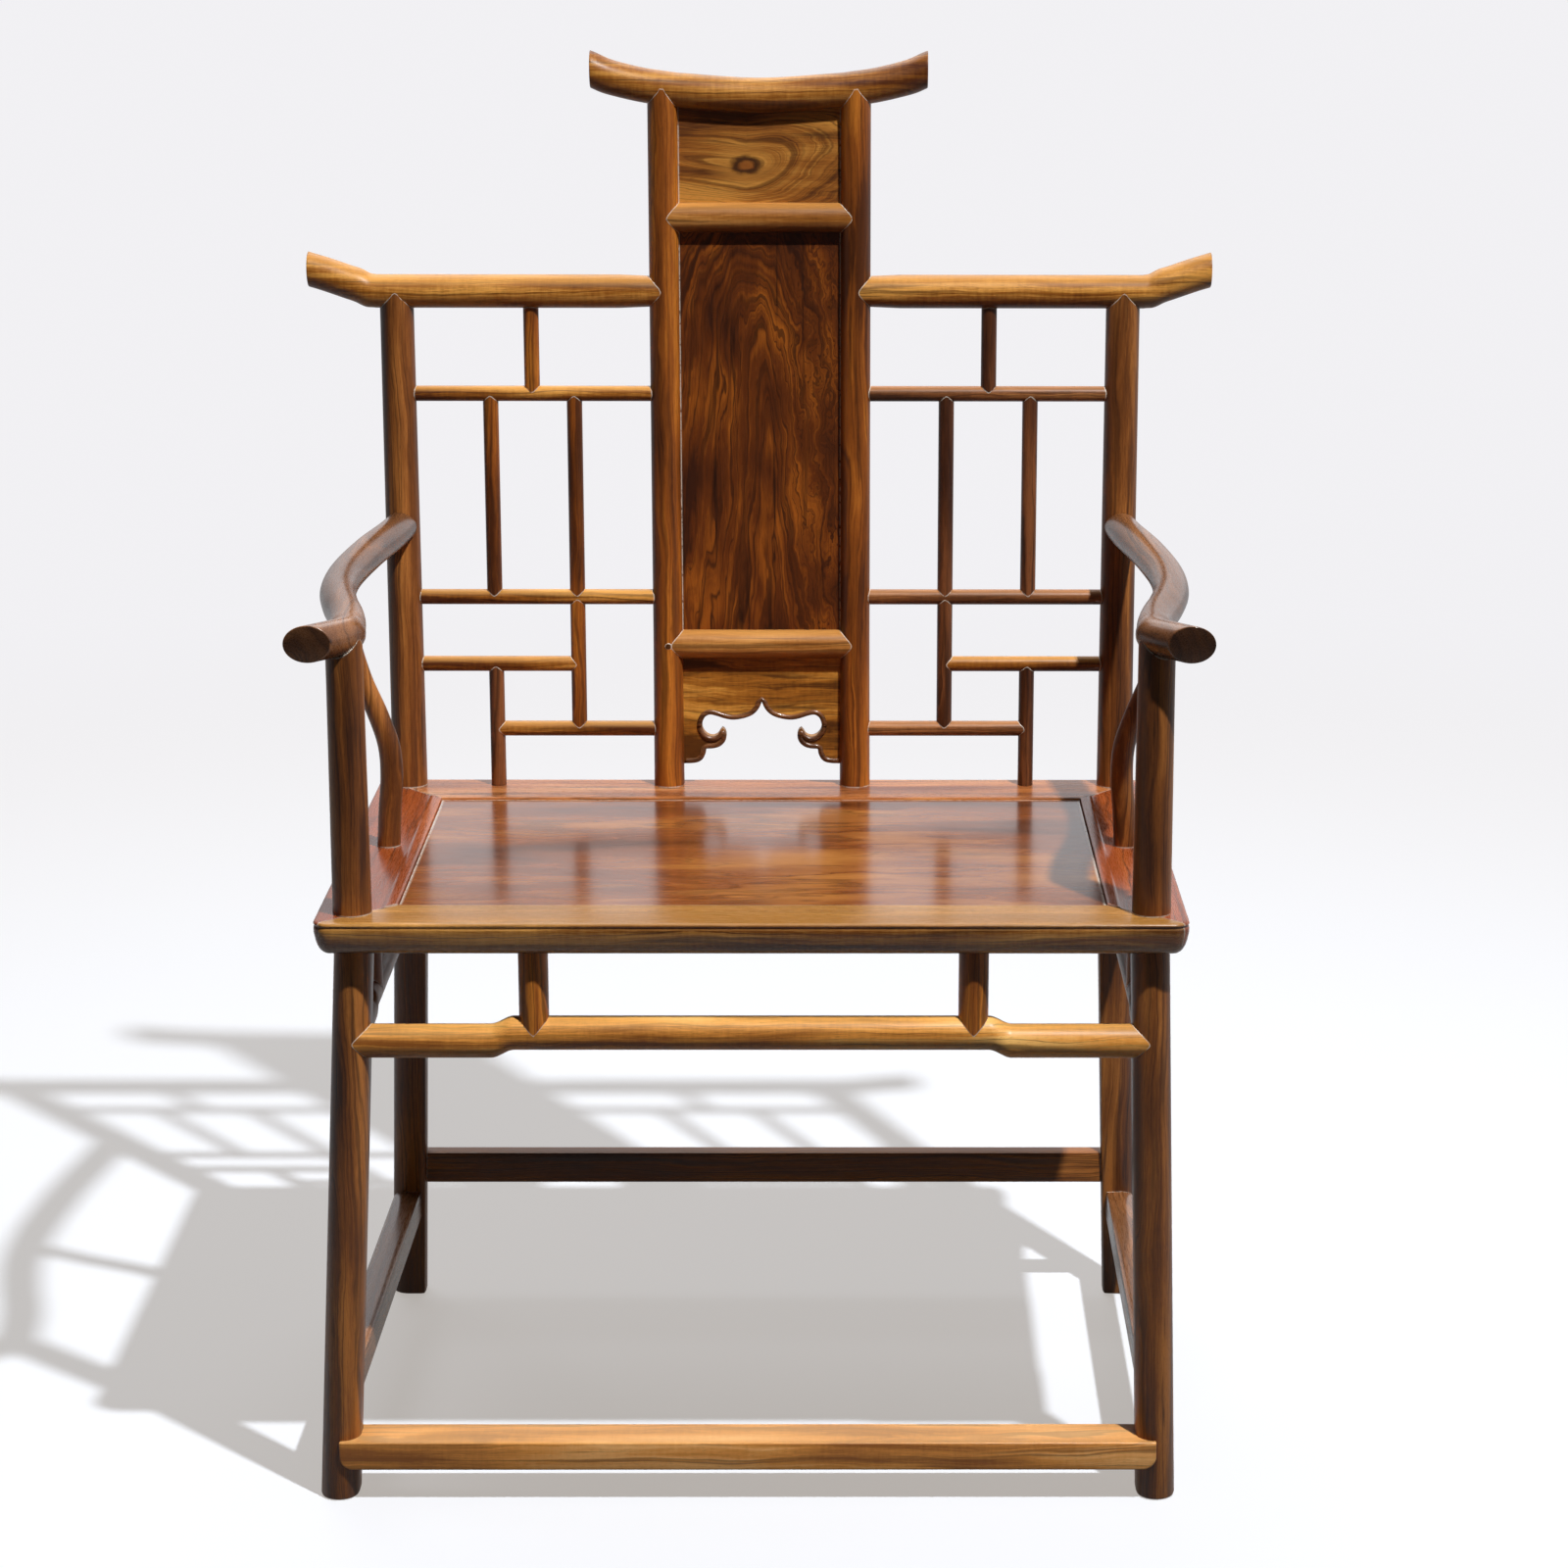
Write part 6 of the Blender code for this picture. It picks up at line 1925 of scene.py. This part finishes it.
@dataclass
class FootRest:
    """The broad front stretcher on which the sitter's feet rest, notched around the legs.

    Attributes:
        lip: How far it stands out ahead of the legs.
        corner: Radius of its rounded lower corners.
        ease: Rim of its edges.
        notch: Shares of a leg between which its shape is cut out of the board.
    """

    top: float = 0.0528
    thickness: float = 0.0243
    width: float = 0.0395
    lip: float = 0.0035
    corner: float = 0.011
    ease: float = 0.0014
    ease_steps: int = 3
    corner_steps: int = 10
    notch: tuple[float, float] = (-0.1, 0.5)

    def build(self) -> BMesh:
        """Draws the board, eases its edges and cuts the legs' shape out of its ends."""
        share = (self.top - self.thickness / 2) / SIZES.seat_bottom
        trunks = [SIZES.leg_trunk(side, True) for _, side in SIDES]
        left, right = (trunk.place_at(share) for trunk in trunks)
        front = right.y - trunks[1].radius_at(share) - self.lip
        bottom = self.top - self.thickness
        arc = []
        for step in range(self.corner_steps + 1):
            turn = math.pi / 2 * step / self.corner_steps
            x = right.x - self.corner + self.corner * math.cos(turn)
            arc.append((x, bottom + self.corner - self.corner * math.sin(turn)))
        mirrored = [(left.x + right.x - x, z) for x, z in reversed(arc)]
        outline = [(right.x, self.top), *arc, *mirrored, (left.x, self.top)]
        rings = [[Vector((x, y, z)) for x, z in outline] for y in (front, front + self.width)]
        bm = draw_out(rings, (0.0, 0.0))
        sharp = [edge for edge in bm.edges if edge.calc_face_angle(0) > SMOOTH_ANGLE]
        bmesh.ops.bevel(
            bm, geom=sharp, offset=self.ease, affect="EDGES", segments=self.ease_steps, profile=0.5,
            material=-1, clamp_overlap=True,
        )
        return self.notched(bm)

    def notched(self, bm: BMesh) -> BMesh:
        """Cuts the two legs, grown by a seam, out of the board.

        Args:
            bm: The board. It is freed.

        Returns:
            The board with its notches.
        """
        board = link_mesh("foot_rest_blank", bm)
        cutters = []
        for _, side in SIDES:
            trunk = SIZES.leg_trunk(side, True)
            outline = section(ROUND_SIDES, -side, 1)
            stations = []
            for share in self.notch:
                radius = trunk.radius_at(share) + SEAM
                stations.append(Station(trunk.place_at(share), radius, radius, outline, Z_AXIS))
            cutters.append(link_mesh("leg_notch", Stick(stations).build()))
            modifier = board.modifiers.new("notch", "BOOLEAN")
            modifier.operation = "DIFFERENCE"
            modifier.solver = "EXACT"
            modifier.object = cutters[-1]
        bpy.context.view_layer.update()
        cut = board.evaluated_get(bpy.context.evaluated_depsgraph_get()).to_mesh()
        result = bmesh.new()
        result.from_mesh(cut)
        for blank in (board, *cutters):
            bpy.data.objects.remove(blank, do_unlink=True)
        return result

    def dress(self) -> None:
        """Puts the foot rest in the chair."""
        finish_piece("foot_rest", self.build(), TAWNY, Grain.LEVEL, CUTS["foot_rest"])


@dataclass
class Studio:
    """A pale floor, a small key lamp, a large soft lamp behind the chair, a surround and the camera.

    The photographed floor looks far brighter than the light that it throws back on the chair. So the floor
    and the surround have one strength for light and others for what the camera and the polish see.

    Attributes:
        floor_bounce: Colour of the floor for the light that it throws back.
        floor_paint: Colour of the floor for the camera, near the chair.
        floor_shade: Colour of its own glow near the chair, which is all that its shadows show.
        far_floor: The same far away.
        floor_glow: Strength of that glow near the chair.
        far_glow: The same far away.
        fade_span: Distances between which near turns to far.
        mirrored_floor: Depths between which the floor shows up in the polish, and how strongly.
        surround: Strength of the surround as light.
        backdrop: Its strength in the polish, on its dark and its bright side.
        backdrop_span: How far a direction points to the bright side, at the dark and the bright end.
        backdrop_seen: Its strength for the camera.
        bright_side: Direction of its bright side.
    """

    floor_reach: float = 90.0
    floor_bounce: str = "#444342"
    floor_paint: str = "#B6BCC5"
    floor_shade: str = "#FFF8F1"
    far_floor: str = "#FDFCFF"
    floor_glow: float = 0.446
    far_glow: float = 0.90
    mirrored_floor: tuple[float, float, float] = (-2.4, -0.3, 0.6)
    fade_span: tuple[float, float] = (0.9, 3.6)
    key_place: tuple[float, float, float] = (1.0, -1.32, 3.35)
    key_power: float = 45.0
    key_radius: float = 0.05
    softbox_place: tuple[float, float, float] = (-0.5, 1.7, 3.1)
    softbox_power: float = 32.0
    softbox_size: float = 2.2
    surround: float = 0.035
    surround_tint: str = "#FBFBFF"
    backdrop: tuple[float, float] = (0.10, 0.95)
    backdrop_span: tuple[float, float] = (-0.25, 0.5)
    backdrop_seen: float = 0.88
    bright_side: tuple[float, float, float] = (0.75, 0.55, 0.36)
    camera_place: tuple[float, float, float] = (0.06786, -3.10444, 1.33734)
    pitch: float = math.radians(-14.159)
    yaw: float = math.radians(0.278)
    roll: float = math.radians(0.095)
    lens: float = 85.5
    sensor_mm: float = 36.0
    shift_px: float = 71.0
    frame_px: float = 1600.0
    far_limit: float = 300.0

    @staticmethod
    def seen(tree: bpy.types.NodeTree, mirrored: float | Socket = 1.0) -> Socket:
        """Adds a value that is 1 for what the camera sees, and 0 for light.

        Args:
            tree: The node tree.
            mirrored: The value for what a gloss or a glass shows.

        Returns:
            The value.
        """
        ray = add_node(tree, "LightPath").node.outputs
        both = {0: ray["Is Glossy Ray"], 1: ray["Is Transmission Ray"]}
        part = {0: add_node(tree, "Math", both, operation="MAXIMUM"), 1: mirrored}
        whole = {0: add_node(tree, "Math", part, operation="MULTIPLY"), 1: ray["Is Camera Ray"]}
        return add_node(tree, "Math", whole, operation="MAXIMUM")

    def paint(self) -> bpy.types.Material:
        """Mixes the floor's paint: matt, brighter far away, and dim for light."""
        paint = bpy.data.materials.new("pale_matt_paint")
        paint.use_nodes = True
        tree = paint.node_tree
        point = add_node(tree, "TexCoord", out="Object")
        depth = add_node(tree, "SeparateXYZ", {"Vector": point}, "Y")
        dim, clear, share = self.mirrored_floor
        seen = self.seen(tree, add_node(tree, "MapRange", ranged(depth, (dim, clear), (0.0, share))))
        away = add_node(tree, "VectorMath", {0: point}, "Value", operation="LENGTH")
        fade = add_node(tree, "MapRange", ranged(away, self.fade_span), **SOFT)
        shown, tint = (
            add_node(tree, "Mix", {"Factor": fade, 6: linear(near), 7: linear(far)}, 2, data_type="RGBA")
            for near, far in ((self.floor_paint, "#000000"), (self.floor_shade, self.far_floor))
        )
        lit = add_node(tree, "MapRange", ranged(fade, (0.0, 1.0), (self.floor_glow, self.far_glow)))
        colour = {"Factor": seen, 6: linear(self.floor_bounce), 7: shown}
        surface = {
            "Base Color": add_node(tree, "Mix", colour, 2, data_type="RGBA"),
            "Roughness": 0.9,
            "Specular IOR Level": 0.0,
            "Emission Color": tint,
            "Emission Strength": add_node(tree, "Math", {0: seen, 1: lit}, operation="MULTIPLY"),
        }
        plug(tree.nodes["Principled BSDF"], surface)
        return paint

    def floor(self) -> None:
        """Lays the floor, which isn't part of the chair."""
        bm = bmesh.new()
        bmesh.ops.create_grid(bm, x_segments=1, y_segments=1, size=self.floor_reach)
        floor = link_mesh("studio_floor", bm)
        floor.data.materials.append(self.paint())

    def lamps(self) -> None:
        """Hangs both lamps. The key's light doesn't fall off with distance, as the sun's doesn't."""
        key = bpy.data.lights.new("key_light", "POINT")
        key.energy = self.key_power
        key.shadow_soft_size = self.key_radius
        key.use_nodes = True
        even = add_node(key.node_tree, "LightFalloff", {"Strength": 1.0}, "Constant")
        plug(key.node_tree.nodes["Emission"], {"Strength": even})
        softbox = bpy.data.lights.new("softbox", "AREA")
        softbox.energy = self.softbox_power
        softbox.size = self.softbox_size
        for light, place in ((key, self.key_place), (softbox, self.softbox_place)):
            lamp = bpy.data.objects.new(light.name, light)
            lamp.location = place
            aim = Z_AXIS * SIZES.seat_top - lamp.location
            lamp.rotation_euler = aim.to_track_quat("-Z", "Y").to_euler()
            bpy.context.scene.collection.objects.link(lamp)

    def surroundings(self) -> None:
        """Sets the surround: faint as light, and brighter towards the right and the back in the polish."""
        world = bpy.data.worlds.new("pale_surround")
        bpy.context.scene.world = world
        world.use_nodes = True
        tree = world.node_tree
        way = {0: add_node(tree, "TexCoord", out="Generated"), 1: self.bright_side}
        side = add_node(tree, "VectorMath", way, "Value", operation="DOT_PRODUCT")
        shade = add_node(tree, "MapRange", ranged(side, self.backdrop_span, self.backdrop))
        direct = add_node(tree, "LightPath", out="Is Camera Ray")
        looks = {"Factor": direct, 2: shade, 3: self.backdrop_seen}
        shown = add_node(tree, "Mix", looks, data_type="FLOAT")
        both = {"Factor": self.seen(tree), 2: self.surround, 3: shown}
        strength = add_node(tree, "Mix", both, data_type="FLOAT")
        plug(tree.nodes["Background"], {"Color": linear(self.surround_tint), "Strength": strength})

    def camera(self) -> None:
        """Sets the camera at the photograph's viewing angle, for a square frame."""
        data = bpy.data.cameras.new("camera")
        data.lens = self.lens
        data.sensor_width = self.sensor_mm
        data.shift_x = -self.shift_px / self.frame_px
        data.clip_end = self.far_limit
        camera = bpy.data.objects.new("camera", data)
        turn = Matrix.Rotation(-self.yaw, 4, "Z") @ Matrix.Rotation(math.pi / 2 + self.pitch, 4, "X")
        turn = turn @ Matrix.Rotation(self.roll, 4, "Z")
        camera.matrix_world = Matrix.Translation(Vector(self.camera_place)) @ turn
        bpy.context.scene.collection.objects.link(camera)
        bpy.context.scene.camera = camera

    def build(self) -> None:
        """Sets up the whole studio."""
        self.floor()
        self.lamps()
        self.surroundings()
        self.camera()
        bpy.context.scene.view_settings.view_transform = "Standard"


def main() -> None:
    """Builds the chair, sub-assembly by sub-assembly, and the studio around it."""
    logging.basicConfig(level=logging.INFO, format="%(name)s %(message)s")
    crest = CrestRail()
    arms = Arms()
    parts = [crest, WingRails(), CentreBack(crest), Apron(), Lattice(), arms, Legs(arms), SeatFrame()]
    parts += [Stretchers(), FootRest()]
    for part in parts:
        part.dress()
    Studio().build()
    bpy.context.view_layer.update()


if __name__ == "__main__":
    main()
